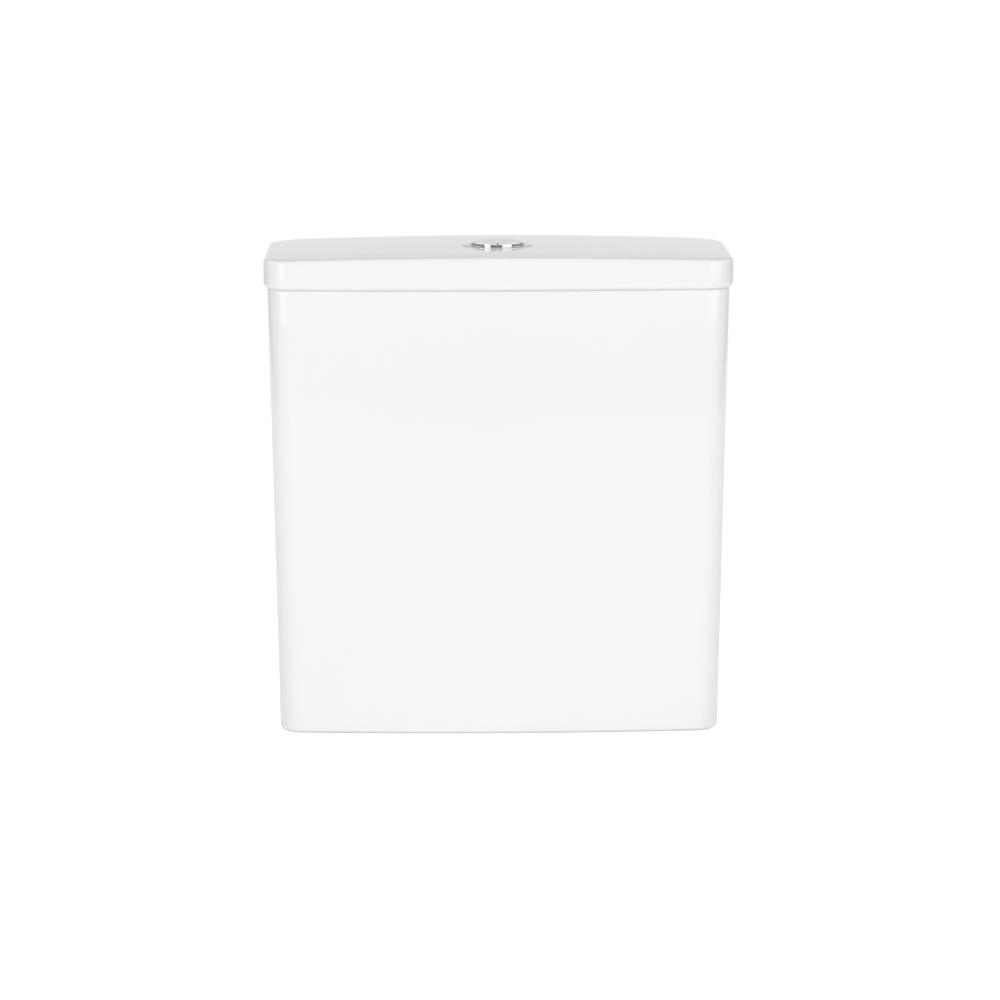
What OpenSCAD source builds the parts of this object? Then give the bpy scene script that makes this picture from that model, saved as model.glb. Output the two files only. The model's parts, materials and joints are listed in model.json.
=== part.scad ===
// Close-coupled toilet cistern with a lift-off lid, a dual-flush push button,
// a drop flush valve and a bottom-entry fill valve.
// +X is to the right seen from the front, +Y is towards the wall, +Z is up.
// The origin is under the middle of the cistern, on the plane of its foot.

/* [Tank] */
// Width of the tank at its rim
tank_w = 370; // [330:1:400]
// Width of the tank at its foot
tank_foot_w = 357; // [320:1:395]
// Depth of the tank at its rim, from the middle of the front to the wall
tank_d = 165; // [150:1:190]
// Height of the rim above the foot
tank_h = 362; // [340:1:400]
// How far the front leans back from rim to foot
front_taper = 3.5; // [0:0.5:10]
// How far the middle of the front stands proud of its ends
front_bow = 7.5; // [3:0.5:14]
// Radius of the two front corners in plan
front_corner_r = 20; // [17:1:30]
// Radius of the two back corners in plan
back_corner_r = 26; // [16:1:30]
// Thickness of the china walls
wall = 9; // [7:0.5:11]
// Thickness of the china base
base_t = 12; // [9:0.5:15]
// Height of the underside of the base above the foot
skirt_h = 50; // [48:1:56]
// Radius of the foot's outer edge
foot_r = 3; // [1:0.5:5]
// Radius of the rim's outer edge
rim_r = 1.5; // [0.5:0.25:2.5]
// Radius of the fillet round the floor of the tank
floor_fillet = 10; // [5:0.5:12]
// Distance between the two wall screw holes
wall_screw_pitch = 200; // [160:5:240]
// Drop from the rim to the wall screw holes
wall_screw_drop = 30; // [26:1:36]
// Diameter of the wall screw holes
wall_screw_d = 8; // [6:0.5:10]

/* [Lid] */
// How far the lid stands out past the tank at the front and the sides
lid_overhang = 3; // [2:0.5:6]
// Height of the lid at its ends
lid_h = 23; // [21:0.5:28]
// Rise of the lid's top from its ends to its middle
lid_crown = 3.6; // [1:0.2:6]
// Rise of the lid's top from its front and back edges to its middle
lid_crown_d = 1; // [0.2:0.2:2]
// Radius of the lid's top edge
lid_top_r = 3; // [2:0.5:6]
// Radius of the lid's bottom edge
lid_bottom_r = 4.5; // [2:0.5:6]
// Thickness of the lid's roof at its ends
lid_roof = 8; // [6:0.5:9]
// Width of the lid's rim that rests on the tank
lid_rim = 13.5; // [12:0.5:16]
// Length of each locating lug under the lid
lug_l = 60; // [30:1:80]
// Thickness of each locating lug
lug_t = 7; // [5:0.5:9]
// How far the lugs reach down into the tank
lug_drop = 8; // [5:0.5:12]
// Distance of the lugs from the middle of the lid
lug_x = 95; // [70:1:110]
// Free space between a lug and the tank wall
lug_gap = 3; // [2:0.5:5]

/* [Push button] */
// Diameter of the hole through the lid
button_hole_d = 48; // [46:0.5:50]
// Outer diameter of the chrome bezel
bezel_d = 57.5; // [55:0.5:62]
// Height of the bezel's lip above its seat on the lid
bezel_h = 0.9; // [0.8:0.1:2]
// Height of the buttons above the bezel's lip
button_proud = 2.4; // [1.5:0.1:4]
// Length of the barrel below the bezel
barrel_l = 36; // [34:1:40]
// Wall of the barrel
barrel_wall = 2.2; // [1.8:0.1:2.8]
// Travel of each button
button_travel = 8; // [5:0.5:9]
// Gap between the two half-round buttons
button_split = 0.8; // [0.4:0.1:1.5]
// Radius of the crown across each button
button_crown_r = 120; // [60:1:200]
// Distance of each push rod from the middle of the button
rod_x = 10.2; // [9.5:0.1:10.6]
// Wire diameter of the button springs
spring_wire_d = 1.1; // [0.8:0.1:1.3]
// Mean diameter of the button springs
spring_d = 12; // [11.4:0.1:12.4]
// Number of turns in each button spring
spring_turns = 7; // [5:1:8]

/* [Flush valve] */
// Outer diameter of the threaded outlet tail
tail_d = 59.6; // [56:0.1:61]
// Bore of the outlet tail
tail_bore_d = 48; // [44:0.5:49]
// Height of the tail's end above the foot
tail_end_z = 5; // [2:0.5:8]
// Outer diameter of the flange that sits on the base gasket
valve_flange_d = 84; // [80:1:88]
// Height of the cage above the flange
cage_h = 66; // [60:1:80]
// Outer diameter of the cage
cage_d = 78; // [76:0.5:80]
// Number of windows round the cage
cage_windows = 6; // [5:1:7]
// Outer diameter of the overflow tube
overflow_d = 28; // [26:0.5:30]
// Drop from the tank's rim to the pivots of the flush levers
pivot_drop = 44; // [42:1:48]
// Distance of each lever pivot from the middle of the valve
pivot_x = 30; // [28:0.5:32]
// Distance from a lever pivot to its pull link
link_arm = 26; // [24:0.5:27]
// Outer diameter of the half-flush float
half_float_d = 24; // [20:0.5:25]
// Height of the half-flush float
half_float_h = 40; // [32:1:50]

/* [Fill valve] */
// Distance of the fill valve from the middle of the tank
inlet_x = 118; // [112:1:126]
// Outer diameter of the threaded inlet shank
shank_d = 20.8; // [20:0.1:21]
// Bore of the inlet shank
shank_bore_d = 13; // [10:0.5:14]
// Height of the shank's end above the foot
shank_end_z = 8; // [4:0.5:12]
// Outer diameter of the riser tube
riser_d = 25; // [24:0.5:27]
// Diameter of the valve head and its cap
fill_head_d = 34; // [32:0.5:36]
// Outer diameter of the float cup
float_d = 58; // [56:0.5:62]
// Height of the float cup
float_h = 60; // [45:1:70]
// Travel of the float cup
float_travel = 14; // [8:0.5:16]

/* [Coupling bolts] */
// Distance between the two bolts that hold the cistern to the pan
bolt_pitch = 150; // [146:1:156]
// Diameter of the bolts
bolt_d = 8; // [7:0.5:9]
// Height of the bolts' ends above the foot
bolt_end_z = 8; // [4:0.5:12]

/* [Clearances] */
// Gap between pieces that slide past each other
slide_gap = 0.3; // [0.2:0.05:0.4]
// Radial gap between a pin and the bore that turns on it
run_gap = 0.05; // [0.03:0.01:0.08]
// Radial gap between a plain piece and the hole that holds it
seat_gap = 0.1; // [0.05:0.05:0.2]

/* [Hidden] */
$fn = 64;
cut = 1;

// Colours
china = [0.96, 0.96, 0.95];
chrome = [0.78, 0.79, 0.80];
white_plastic = [0.93, 0.93, 0.91];
grey_plastic = [0.62, 0.64, 0.66];
blue_plastic = [0.16, 0.38, 0.68];
black_rubber = [0.10, 0.10, 0.10];
red_rubber = [0.62, 0.16, 0.12];
brass = [0.80, 0.66, 0.36];
steel = [0.72, 0.73, 0.74];

// Outline segments: half of the front or back, one corner, one side
front_n = 10;
corner_n = 6;
side_n = 4;
edge_n = 3;
fillet_n = 4;
rim_n = 2;

// Tank levels and faces
lid_w = tank_w + 2 * lid_overhang;
lid_d = tank_d + lid_overhang;
back_y = lid_d / 2;
rim_front_y = back_y - tank_d;
floor_z = skirt_h + base_t;
skirt_extra = 1;
skirt_wall = wall + skirt_extra;
skirt_fillet = 5;
corner_spare = 2;
inner_corner_r = max(front_corner_r - wall, floor_fillet + corner_spare);
inner_back_r = max(back_corner_r - wall, floor_fillet + corner_spare);
skirt_corner_r = max(front_corner_r - skirt_wall, skirt_fillet + corner_spare);
skirt_back_r = max(back_corner_r - skirt_wall, skirt_fillet + corner_spare);

// Lid levels
lid_corner_r = front_corner_r + lid_overhang;
lid_back_r = back_corner_r + lid_overhang;
lid_edge_z = tank_h + lid_h;
lid_ceiling_z = lid_edge_z - lid_roof;
lid_inner_r = 8;
lid_inner_fillet = 4;
lid_top_steps = [0.8, 0.6, 0.4, 0.2, 0.05];
bezel_seat_depth = 0.4;
bezel_seat_z = lid_edge_z + lid_crown + lid_crown_d - bezel_seat_depth;

// Push button
barrel_gap = 0.5;
barrel_r = button_hole_d / 2 - barrel_gap;
barrel_bore_r = barrel_r - barrel_wall;
barrel_floor_t = 3;
bezel_edge = 0.6;
bezel_lip = 1.6;
bezel_lip_r = barrel_bore_r + bezel_lip;
bezel_dish = 0.6;
barrel_end_z = bezel_seat_z - barrel_l;
barrel_floor_z = barrel_end_z + barrel_floor_t;
bezel_gasket_t = 2;
bezel_nut_h = 11;
bezel_nut_r = 33;
bezel_nut_ribs = 12;
bezel_nut_rib = 2;
bezel_nut_rib_w = 5;
button_r = barrel_bore_r - slide_gap;
button_top_z = bezel_seat_z + bezel_h + button_proud;
button_skin = 2.2;
button_skirt_h = 7;
button_wall = 1.6;
button_sag = pow(button_r - rod_x, 2) / (2 * button_crown_r);
button_under_z = button_top_z - button_skin - button_sag;
plunger_r = 4;
plunger_end_z = barrel_end_z - slide_gap;
rod_r = 2.6;
rod_thread_l = 10;
rod_collar_r = 6;
rod_collar_h = 4;
spring_steps = 8;
spring_sides = 6;

// Flush valve levels
base_gasket_t = 3;
valve_flange_t = 5;
flange_top_z = floor_z + base_gasket_t + valve_flange_t;
seat_h = 3;
seat_z = flange_top_z + seat_h;
seat_w = 3;
seat_r = tail_bore_d / 2 + seat_w;
seat_land = 1;
tail_step = 0.8;
outlet_play = 6;
outlet_hole_d = tail_d + outlet_play;
locknut_h = 13;
locknut_r = 41;
locknut_lugs = 8;
locknut_lug = 4;
locknut_lug_w = 8;
seal_drop = 28;
tail_plain_z = skirt_h - seal_drop - tail_step;
seal_r = 54;
seal_end_r = 44;
cage_r = cage_d / 2;
cage_wall = 3.5;
cage_ring_h = 8;
cage_post_w = 9;
cage_roof_t = 4;
cage_roof_z = flange_top_z + cage_h - cage_roof_t;
cage_top_z = flange_top_z + cage_h;
guide_h = 10;
guide_wall = 3.6;
overflow_r = overflow_d / 2;
overflow_wall = 2;
guide_r = overflow_r + slide_gap + seat_gap;
guide_out_r = guide_r + guide_wall;
rail_clear = 1;
rail_y = guide_out_r + rail_clear;
rail_t = 4;
rail_w = 16;
rail_foot_t = 4;
rail_foot_out = 2;
rail_notches = 12;
rail_notch_pitch = 5;
rail_notch_h = 2.5;
rail_notch_depth = 1.2;

// Flush levers: the button's rod pushes the pad, the far end lifts a pull link
lever_pivot_z = tank_h - pivot_drop;
lever_w = 10;
lever_t = 5;
lever_hub_r = 5;
lever_pad_rise = 3;
lever_pad_z = lever_pivot_z + lever_pad_rise;
lever_pin_r = 2;
lever_arm = pivot_x - rod_x;
lever_angle = asin(button_travel / lever_arm);
link_x = pivot_x + link_arm;
link_lift = link_arm * tan(lever_angle);
link_r = 2;
link_pin_r = 1.8;
pin_proud = 1;
link_pin_l = lever_w + 2 * pin_proud;
link_top = 4;
link_clear = 0.6;
fork_gap = 2 * (link_r + link_clear);
fork_play = 0.5;
fork_wall = 2.4;
fork_root_back = 10;
fork_reach = link_arm / cos(lever_angle) - link_arm;
rod_tip_z = lever_pad_z + slide_gap;

// Valve head
head_t = 4;
lever_room = 15;
head_top_z = lever_pivot_z - lever_room;
head_tube_gap = 2;
head_z = head_top_z - head_t;
head_end = 6;
head_side = 4;
head_lx = 2 * (pivot_x + head_end);
head_ly = 2 * (rail_y + rail_t + head_side);
head_corner_r = 5;
head_socket_h = 14;
head_socket_wall = 2.5;
ear_t = 3;
ear_w = 10;
ear_y = lever_w / 2 + slide_gap;

// Moving stem of the flush valve
stem_flange_r = 20;
stem_foot_z = flange_top_z;
stem_room = 2;
stem_top_z = head_z - link_lift - stem_room;
flush_seal_t = 3.5;
flush_seal_over = 4;
flush_seal_r = seat_r + flush_seal_over;
retainer_in = 3;
retainer_r = flush_seal_r - retainer_in;
retainer_t = 3.5;
retainer_hub_wall = 4;
retainer_hub_r = overflow_r + retainer_hub_wall;
retainer_hub_h = 12;
collar_h = 10;
collar_drop = 62;
collar_z = stem_top_z - collar_drop;
collar_wall = 4;
collar_arm_w = 10;
collar_arm_t = 6;
link_head_h = 3;
link_head_r = 3.6;

// Half-flush float beside the cage
float_bracket_t = 6;
float_bracket_w = 12;
float_bracket_z = flange_top_z;
float_post_r = 3;
float_post_short = 14;
float_post_h = half_float_h - float_post_short;
float_post_top = 2;
half_float_z = float_bracket_z + float_bracket_t + slide_gap;
half_float_top_z = half_float_z + half_float_h;
half_link_depth = 6;

// Coupling bolts
bolt_r = bolt_d / 2;
bolt_step = 0.2;
bolt_shank_r = bolt_r + bolt_step;
bolt_free = 1.4;
bolt_play = 4;
bolt_hole_d = bolt_d + bolt_play;
bolt_seal_t = 4;
bolt_seal_r = 13;
bolt_seal_plug = 6;
bolt_head_r = 10;
bolt_head_h = 5;
bolt_slot_w = 1.8;
bolt_slot_depth = 2;
bolt_washer_t = 1.6;
bolt_washer_r = 12;
bolt_nut_ratio = 1.625;
bolt_nut_af = bolt_d * bolt_nut_ratio;
bolt_nut_h = 6.5;
bolt_step_z = skirt_h - bolt_washer_t - bolt_nut_h - bolt_free;
hex_n = 6;
hex_corner = 1 / cos(180 / hex_n);

// Fill valve levels
shank_step = 0.3;
shank_end_r = shank_d / 2;
shank_r = shank_end_r + shank_step;
inlet_play = 1.8;
inlet_hole_d = 2 * shank_r + inlet_play;
inlet_washer_t = 3;
inlet_flange_t = 5;
inlet_flange_r = 17;
inlet_top_z = floor_z + inlet_washer_t + inlet_flange_t;
inlet_nut_h = 10;
shank_free = 4;
shank_step_z = skirt_h - inlet_nut_h - shank_free;
inlet_nut_r = 16;
inlet_nut_lugs = 6;
inlet_nut_lug = 2.5;
inlet_nut_lug_w = 6;
filter_h = 18;
filter_wall = 1;
filter_in = 2;
riser_r = riser_d / 2;
riser_wall = 3.3;
riser_bore_r = riser_r - riser_wall;
spigot_h = 40;
spigot_r = riser_bore_r - seat_gap;
riser_socket = 8;
head_bore_r = 7;
fill_drop = 8;
fill_pivot_z = lever_pivot_z - fill_drop;
fill_cap_h = 12;
arm_room = 11;
fill_cap_top_z = fill_pivot_z - arm_room;
fill_cap_z = fill_cap_top_z - fill_cap_h;
fill_cap_ribs = 18;
fill_cap_rib = 0.8;
fill_cap_rib_w = 2;
fill_head_h = 25;
fill_head_z = fill_cap_z - fill_head_h;
fill_head_r = fill_head_d / 2;
diaphragm_r = 13;
diaphragm_t = 2.5;
diaphragm_pocket = 4;
pilot_r = 3;
pilot_h = 1.5;
float_r = float_d / 2;
float_gap = 0.6;
float_wall = 2;
float_room = 8;
float_top_z = fill_head_z - float_travel - float_room;
float_z = float_top_z - float_h;
float_roof = 3;
float_boss_r = 4;
float_pin_r = 1.6;
float_rod_out = 7;
float_rod_y = fill_head_r + float_rod_out;
arm_ear_w = 8;
float_pivot_y = fill_head_r + fill_cap_rib + slide_gap + arm_ear_w / 2;
arm_len = float_pivot_y + float_rod_y;
arm_angle = atan(float_travel / 2 / arm_len);
arm_t = 5;
arm_w = 9;
arm_hub_r = 4;
arm_pin_r = 1.6;
arm_pin_l = 18;
arm_ear_t = 3;
arm_ear_x = arm_w / 2 + slide_gap;
arm_block_h = 16;
arm_block_drop = 3;
float_pin_z = fill_pivot_z - arm_len * tan(arm_angle);
float_rod_depth = 8;
adjuster_r = 4.6;
adjuster_h = 6;
adjuster_ribs = 10;
adjuster_rib = 0.6;
adjuster_rib_w = 1.4;

// Points of an arc, with angles counted from the front towards +X
function arc(centre, r, from, to, n) =
    [for (i = [0:n]) let (a = from + (to - from) * i / n)
        [centre.x + r * sin(a), centre.y - r * cos(a)]];

// Points between two ends of a line, without the ends
function between(a, b, n) = [for (i = [1:n - 1]) a + (b - a) * i / n];

// A list without its first or its last item
function rest(list) = [for (i = [1:len(list) - 1]) list[i]];
function most(list) = [for (i = [0:len(list) - 2]) list[i]];

// Plan of the china at one level: a bowed front, straight sides and a flat back.
// Every radius shrinks by inset about the same centres, so insets stay parallel.
function outline(w, front, back, front_r, back_r, inset) =
    let (half = w / 2,
        bow_r = (half * half + front_bow * front_bow) / (2 * front_bow),
        bow_y = front + bow_r,
        front_x = half - front_r,
        front_cy = bow_y - sqrt(pow(bow_r - front_r, 2) - front_x * front_x),
        bow_a = atan2(front_x, bow_y - front_cy),
        back_x = half - back_r,
        back_cy = back - back_r,
        side = half - inset)
    concat(
        arc([0, bow_y], bow_r - inset, -bow_a, bow_a, 2 * front_n),
        rest(arc([front_x, front_cy], front_r - inset, bow_a, 90, corner_n)),
        between([side, front_cy], [side, back_cy], side_n),
        arc([back_x, back_cy], back_r - inset, 90, 180, corner_n),
        between([back_x, back - inset], [-back_x, back - inset], 2 * front_n),
        arc([-back_x, back_cy], back_r - inset, 180, 270, corner_n),
        between([-side, back_cy], [-side, front_cy], side_n),
        most(arc([-front_x, front_cy], front_r - inset, 270, 360 - bow_a, corner_n)));

// One ring of the tank at level z, moved in by off with its own corner radii
function tank_ring(z, off, front_r, back_r, inset) =
    let (w = tank_foot_w + (tank_w - tank_foot_w) * z / tank_h,
        front = rim_front_y + front_taper * (1 - z / tank_h))
    [for (p = outline(w - 2 * off, front + off, back_y - off, front_r, back_r, inset))
        [p.x, p.y, z]];

// Rise of the lid's top over its edge
function crown_at(p) =
    lid_crown * (1 - pow(p.x / (lid_w / 2), 2)) + lid_crown_d * (1 - pow(p.y / (lid_d / 2), 2));

// One ring of the lid: share is how much of the crown it takes
function lid_ring(z, inset, share) =
    [for (p = outline(lid_w, -lid_d / 2, back_y, lid_corner_r, lid_back_r, inset))
        [p.x, p.y, z + share * crown_at(p)]];

// One ring of the lid's top, shrunk towards the middle
function lid_top_ring(s) =
    [for (p = lid_ring(lid_edge_z, lid_top_r, 0))
        let (q = [s * p.x, s * p.y]) [q.x, q.y, lid_edge_z + crown_at(q)]];

// One ring of the hollow under the lid
function lid_hollow_ring(z, inset) =
    [for (p = outline(lid_w - 2 * lid_rim, lid_rim - lid_d / 2, back_y - lid_rim + lid_overhang,
        lid_inner_r, lid_inner_r, inset)) [p.x, p.y, z]];

// Steps of a quarter turn, in degrees
function quarter(n) = [for (i = [0:n]) 90 * i / n];

// A closed solid through rings with the same number of points, lowest ring first
module loft(rings) {
    n = len(rings[0]);
    m = len(rings);
    sides = [for (k = [0:m - 2]) for (i = [0:n - 1]) let (a = k * n, j = (i + 1) % n)
        each [[a + i, a + n + i, a + n + j], [a + i, a + n + j, a + j]]];
    foot = [for (i = [0:n - 1]) i];
    top = [for (i = [0:n - 1]) m * n - 1 - i];
    polyhedron([for (ring = rings) each ring], concat(sides, [foot, top]));
}

module disc(r, z0, z1) {
    translate([0, 0, z0])
        cylinder(r = r, h = z1 - z0);
}

module ring(r_out, r_in, z0, z1) {
    difference() {
        disc(r_out, z0, z1);
        disc(r_in, z0 - cut, z1 + cut);
    }
}

// A box given by the middle of its plan, its two lengths and its two levels
module block(x, y, lx, ly, z0, z1) {
    translate([x - lx / 2, y - ly / 2, z0])
        cube([lx, ly, z1 - z0]);
}

// A cylinder along Y or along X, centred on its middle
module rod_y_axis(r, l) {
    rotate([90, 0, 0])
        cylinder(r = r, h = l, center = true);
}

module rod_x_axis(r, l) {
    rotate([0, 90, 0])
        cylinder(r = r, h = l, center = true);
}

// Blocks standing round a cylinder, with none on the +X axis
module ribs(n, r, reach, w, z0, z1) {
    for (i = [0:n - 1])
        rotate((i + 1 / 2) * 360 / n)
            translate([r - cut, -w / 2, z0])
                cube([reach + cut, w, z1 - z0]);
}

// A nut with grip lugs round it
module lug_nut(r, bore_r, n, reach, w, z0, z1) {
    difference() {
        union() {
            disc(r, z0, z1);
            ribs(n, r, reach, w, z0, z1);
        }
        disc(bore_r, z0 - cut, z1 + cut);
    }
}

module at_bolts() {
    for (s = [-1, 1])
        translate([s * bolt_pitch / 2, 0, 0])
            children();
}

module at_inlet() {
    translate([-inlet_x, 0, 0])
        children();
}

module tank() {
    color(china)
        difference() {
            loft(concat(
                [for (a = quarter(edge_n))
                    tank_ring(foot_r * (1 - cos(a)), 0, front_corner_r, back_corner_r,
                        foot_r * (1 - sin(a)))],
                [for (a = quarter(rim_n))
                    tank_ring(tank_h - rim_r * (1 - sin(a)), 0, front_corner_r, back_corner_r,
                        rim_r * (1 - cos(a)))]));
            loft(concat(
                [for (a = quarter(fillet_n))
                    tank_ring(floor_z + floor_fillet * (1 - cos(a)), wall, inner_corner_r, inner_back_r,
                        floor_fillet * (1 - sin(a)))],
                [tank_ring(tank_h + cut, wall, inner_corner_r, inner_back_r, 0)]));
            loft(concat(
                [tank_ring(-cut, skirt_wall, skirt_corner_r, skirt_back_r, 0)],
                [for (a = quarter(edge_n))
                    tank_ring(skirt_h - skirt_fillet * (1 - sin(a)), skirt_wall, skirt_corner_r,
                        skirt_back_r, skirt_fillet * (1 - cos(a)))]));
            disc(outlet_hole_d / 2, skirt_h - cut, floor_z + cut);
            at_bolts()
                disc(bolt_hole_d / 2, skirt_h - cut, floor_z + cut);
            at_inlet()
                disc(inlet_hole_d / 2, skirt_h - cut, floor_z + cut);
            for (s = [-1, 1])
                translate([s * wall_screw_pitch / 2, back_y - wall / 2, tank_h - wall_screw_drop])
                    rod_y_axis(wall_screw_d / 2, wall + 2 * cut);
        }
}

// A rounded bar under the lid that keeps it from sliding off the tank
module lid_lug(x, y) {
    block(x, y, lug_l - lug_t, lug_t, tank_h - lug_drop, lid_ceiling_z + cut);
    for (s = [-1, 1])
        translate([x + s * (lug_l - lug_t) / 2, y, 0])
            disc(lug_t / 2, tank_h - lug_drop, lid_ceiling_z + cut);
}

module lid() {
    bow_at_lug = front_bow * pow((lug_x + lug_l / 2) / (tank_w / 2), 2);
    color(china) {
        difference() {
            loft(concat(
                [for (a = quarter(edge_n))
                    lid_ring(tank_h + lid_bottom_r * (1 - cos(a)), lid_bottom_r * (1 - sin(a)), 0)],
                [for (a = quarter(fillet_n))
                    lid_ring(lid_edge_z - lid_top_r * (1 - sin(a)), lid_top_r * (1 - cos(a)), 1)],
                [for (s = lid_top_steps) lid_top_ring(s)]));
            loft(concat(
                [lid_hollow_ring(tank_h - cut, 0)],
                [for (a = quarter(edge_n))
                    lid_hollow_ring(lid_ceiling_z - lid_inner_fillet * (1 - sin(a)),
                        lid_inner_fillet * (1 - cos(a)))]));
            disc(button_hole_d / 2, tank_h, bezel_seat_z + lid_h);
            disc(bezel_d / 2 + slide_gap, bezel_seat_z, bezel_seat_z + lid_h);
        }
        for (s = [-1, 1]) {
            lid_lug(s * lug_x, rim_front_y + wall + bow_at_lug + lug_gap + lug_t / 2);
            lid_lug(s * lug_x, back_y - wall - lug_gap - lug_t / 2);
        }
    }
}

module button_bezel() {
    color(chrome)
        difference() {
            union() {
                rotate_extrude()
                    polygon([[barrel_bore_r, barrel_end_z], [barrel_r, barrel_end_z],
                        [barrel_r, bezel_seat_z], [bezel_d / 2, bezel_seat_z],
                        [bezel_d / 2, bezel_seat_z + bezel_edge], [bezel_lip_r, bezel_seat_z + bezel_h],
                        [barrel_bore_r, bezel_seat_z + bezel_h - bezel_dish]]);
                disc(barrel_bore_r + barrel_wall / 2, barrel_end_z, barrel_floor_z);
            }
            for (s = [-1, 1])
                translate([s * rod_x, 0, 0])
                    disc(plunger_r + slide_gap, barrel_end_z - cut, barrel_floor_z + cut);
        }
}

module bezel_gasket() {
    color(black_rubber)
        ring(bezel_nut_r, barrel_r + seat_gap, lid_ceiling_z - bezel_gasket_t, lid_ceiling_z);
}

module bezel_nut() {
    nut_z = lid_ceiling_z - bezel_gasket_t - bezel_nut_h;
    color(white_plastic)
        lug_nut(bezel_nut_r - bezel_nut_rib, barrel_r + seat_gap, bezel_nut_ribs, bezel_nut_rib,
            bezel_nut_rib_w, nut_z, nut_z + bezel_nut_h);
}

// The half plane on one side of the split, as a tall box
module button_side(side, gap) {
    block(side * (gap + barrel_r / 2), 0, barrel_r, 2 * barrel_r, barrel_end_z, button_top_z + cut);
}

// A half-round cap with a crown from side to side, hollow below, on a guided plunger
module flush_button(side) {
    difference() {
        intersection() {
            disc(button_r, button_top_z - button_skirt_h, button_top_z);
            button_side(side, button_split / 2);
            translate([side * rod_x, 0, button_top_z - button_crown_r])
                rod_y_axis(button_crown_r, 2 * barrel_r);
        }
        intersection() {
            disc(button_r - button_wall, button_top_z - button_skirt_h - cut, button_under_z);
            button_side(side, button_split / 2 + button_wall);
        }
    }
    translate([side * rod_x, 0, 0])
        difference() {
            disc(plunger_r, plunger_end_z, button_under_z + button_skin / 2);
            disc(rod_r + seat_gap, plunger_end_z - cut, plunger_end_z + rod_thread_l + cut);
        }
}

module full_flush_button() {
    color(chrome)
        flush_button(1);
}

module half_flush_button() {
    color(chrome)
        flush_button(-1);
}

// Centre line of a button spring: a straight end, the turns, a straight end
function spring_path() =
    let (low = barrel_floor_z + slide_gap, high = button_under_z - slide_gap,
        turn_low = low + spring_wire_d, turn_high = high - spring_wire_d,
        n = spring_turns * spring_steps)
    concat(
        [[0, low]],
        [for (i = [0:n]) [360 * i / spring_steps, turn_low + (turn_high - turn_low) * i / n]],
        [[360 * spring_turns, high]]);

function spring_point(s) = [spring_d / 2 * cos(s[0]), spring_d / 2 * sin(s[0]), s[1]];

// A ring of wire round one point of the spring, square to the path there
function spring_ring(path, i) =
    let (p = spring_point(path[i]),
        ahead = spring_point(path[min(i + 1, len(path) - 1)]) - spring_point(path[max(i - 1, 0)]),
        along = ahead / norm(ahead),
        out = [cos(path[i][0]), sin(path[i][0]), 0],
        up = cross(along, out))
    [for (k = [0:spring_sides - 1]) let (a = -360 * k / spring_sides)
        p + spring_wire_d / 2 * (cos(a) * out + sin(a) * up / norm(up))];

// Least gap from one turn of the spring to the next
function spring_gap(path) =
    min([for (i = [0:len(path) - 1 - spring_steps])
        norm(spring_point(path[i + spring_steps]) - spring_point(path[i]))]) - spring_wire_d;

module button_spring(side) {
    path = spring_path();
    echo(str("button spring, least gap between turns: ", spring_gap(path)));
    translate([side * rod_x, 0, 0])
        loft([for (i = [0:len(path) - 1]) spring_ring(path, i)]);
}

module full_button_spring() {
    color(steel)
        button_spring(1);
}

module half_button_spring() {
    color(steel)
        button_spring(-1);
}

// A threaded rod with a collar that stops the button from coming out
module push_rod(side) {
    translate([side * rod_x, 0, 0]) {
        disc(rod_r, rod_tip_z + rod_r, plunger_end_z + rod_thread_l);
        disc(rod_collar_r, plunger_end_z - rod_collar_h, plunger_end_z);
        translate([0, 0, rod_tip_z + rod_r])
            sphere(r = rod_r);
    }
}

module full_push_rod() {
    color(white_plastic)
        push_rod(1);
}

module half_push_rod() {
    color(white_plastic)
        push_rod(-1);
}

module valve_base() {
    color(white_plastic)
        rotate_extrude()
            polygon([[tail_bore_d / 2, tail_end_z], [tail_d / 2 - tail_step, tail_end_z],
                [tail_d / 2 - tail_step, tail_plain_z], [tail_d / 2, tail_plain_z],
                [tail_d / 2, floor_z + base_gasket_t], [valve_flange_d / 2, floor_z + base_gasket_t],
                [valve_flange_d / 2, flange_top_z], [seat_r, flange_top_z],
                [seat_r - seat_land, seat_z], [tail_bore_d / 2, seat_z]]);
}

module valve_base_gasket() {
    color(black_rubber)
        ring(valve_flange_d / 2 - 1, tail_d / 2 + seat_gap, floor_z, floor_z + base_gasket_t);
}

module valve_locknut() {
    color(white_plastic)
        lug_nut(locknut_r, tail_d / 2 + seat_gap, locknut_lugs, locknut_lug, locknut_lug_w,
            skirt_h - locknut_h, skirt_h);
}

module coupling_seal() {
    pocket_r = locknut_r + locknut_lug + slide_gap;
    pocket_z = skirt_h - locknut_h - slide_gap;
    bore_r = tail_d / 2 + seat_gap;
    color(black_rubber)
        rotate_extrude()
            polygon([[bore_r, skirt_h - seal_drop], [seal_end_r, skirt_h - seal_drop],
                [seal_r, skirt_h - seal_drop / 2], [seal_r, skirt_h], [pocket_r, skirt_h],
                [pocket_r, pocket_z], [bore_r, pocket_z]]);
}

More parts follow.
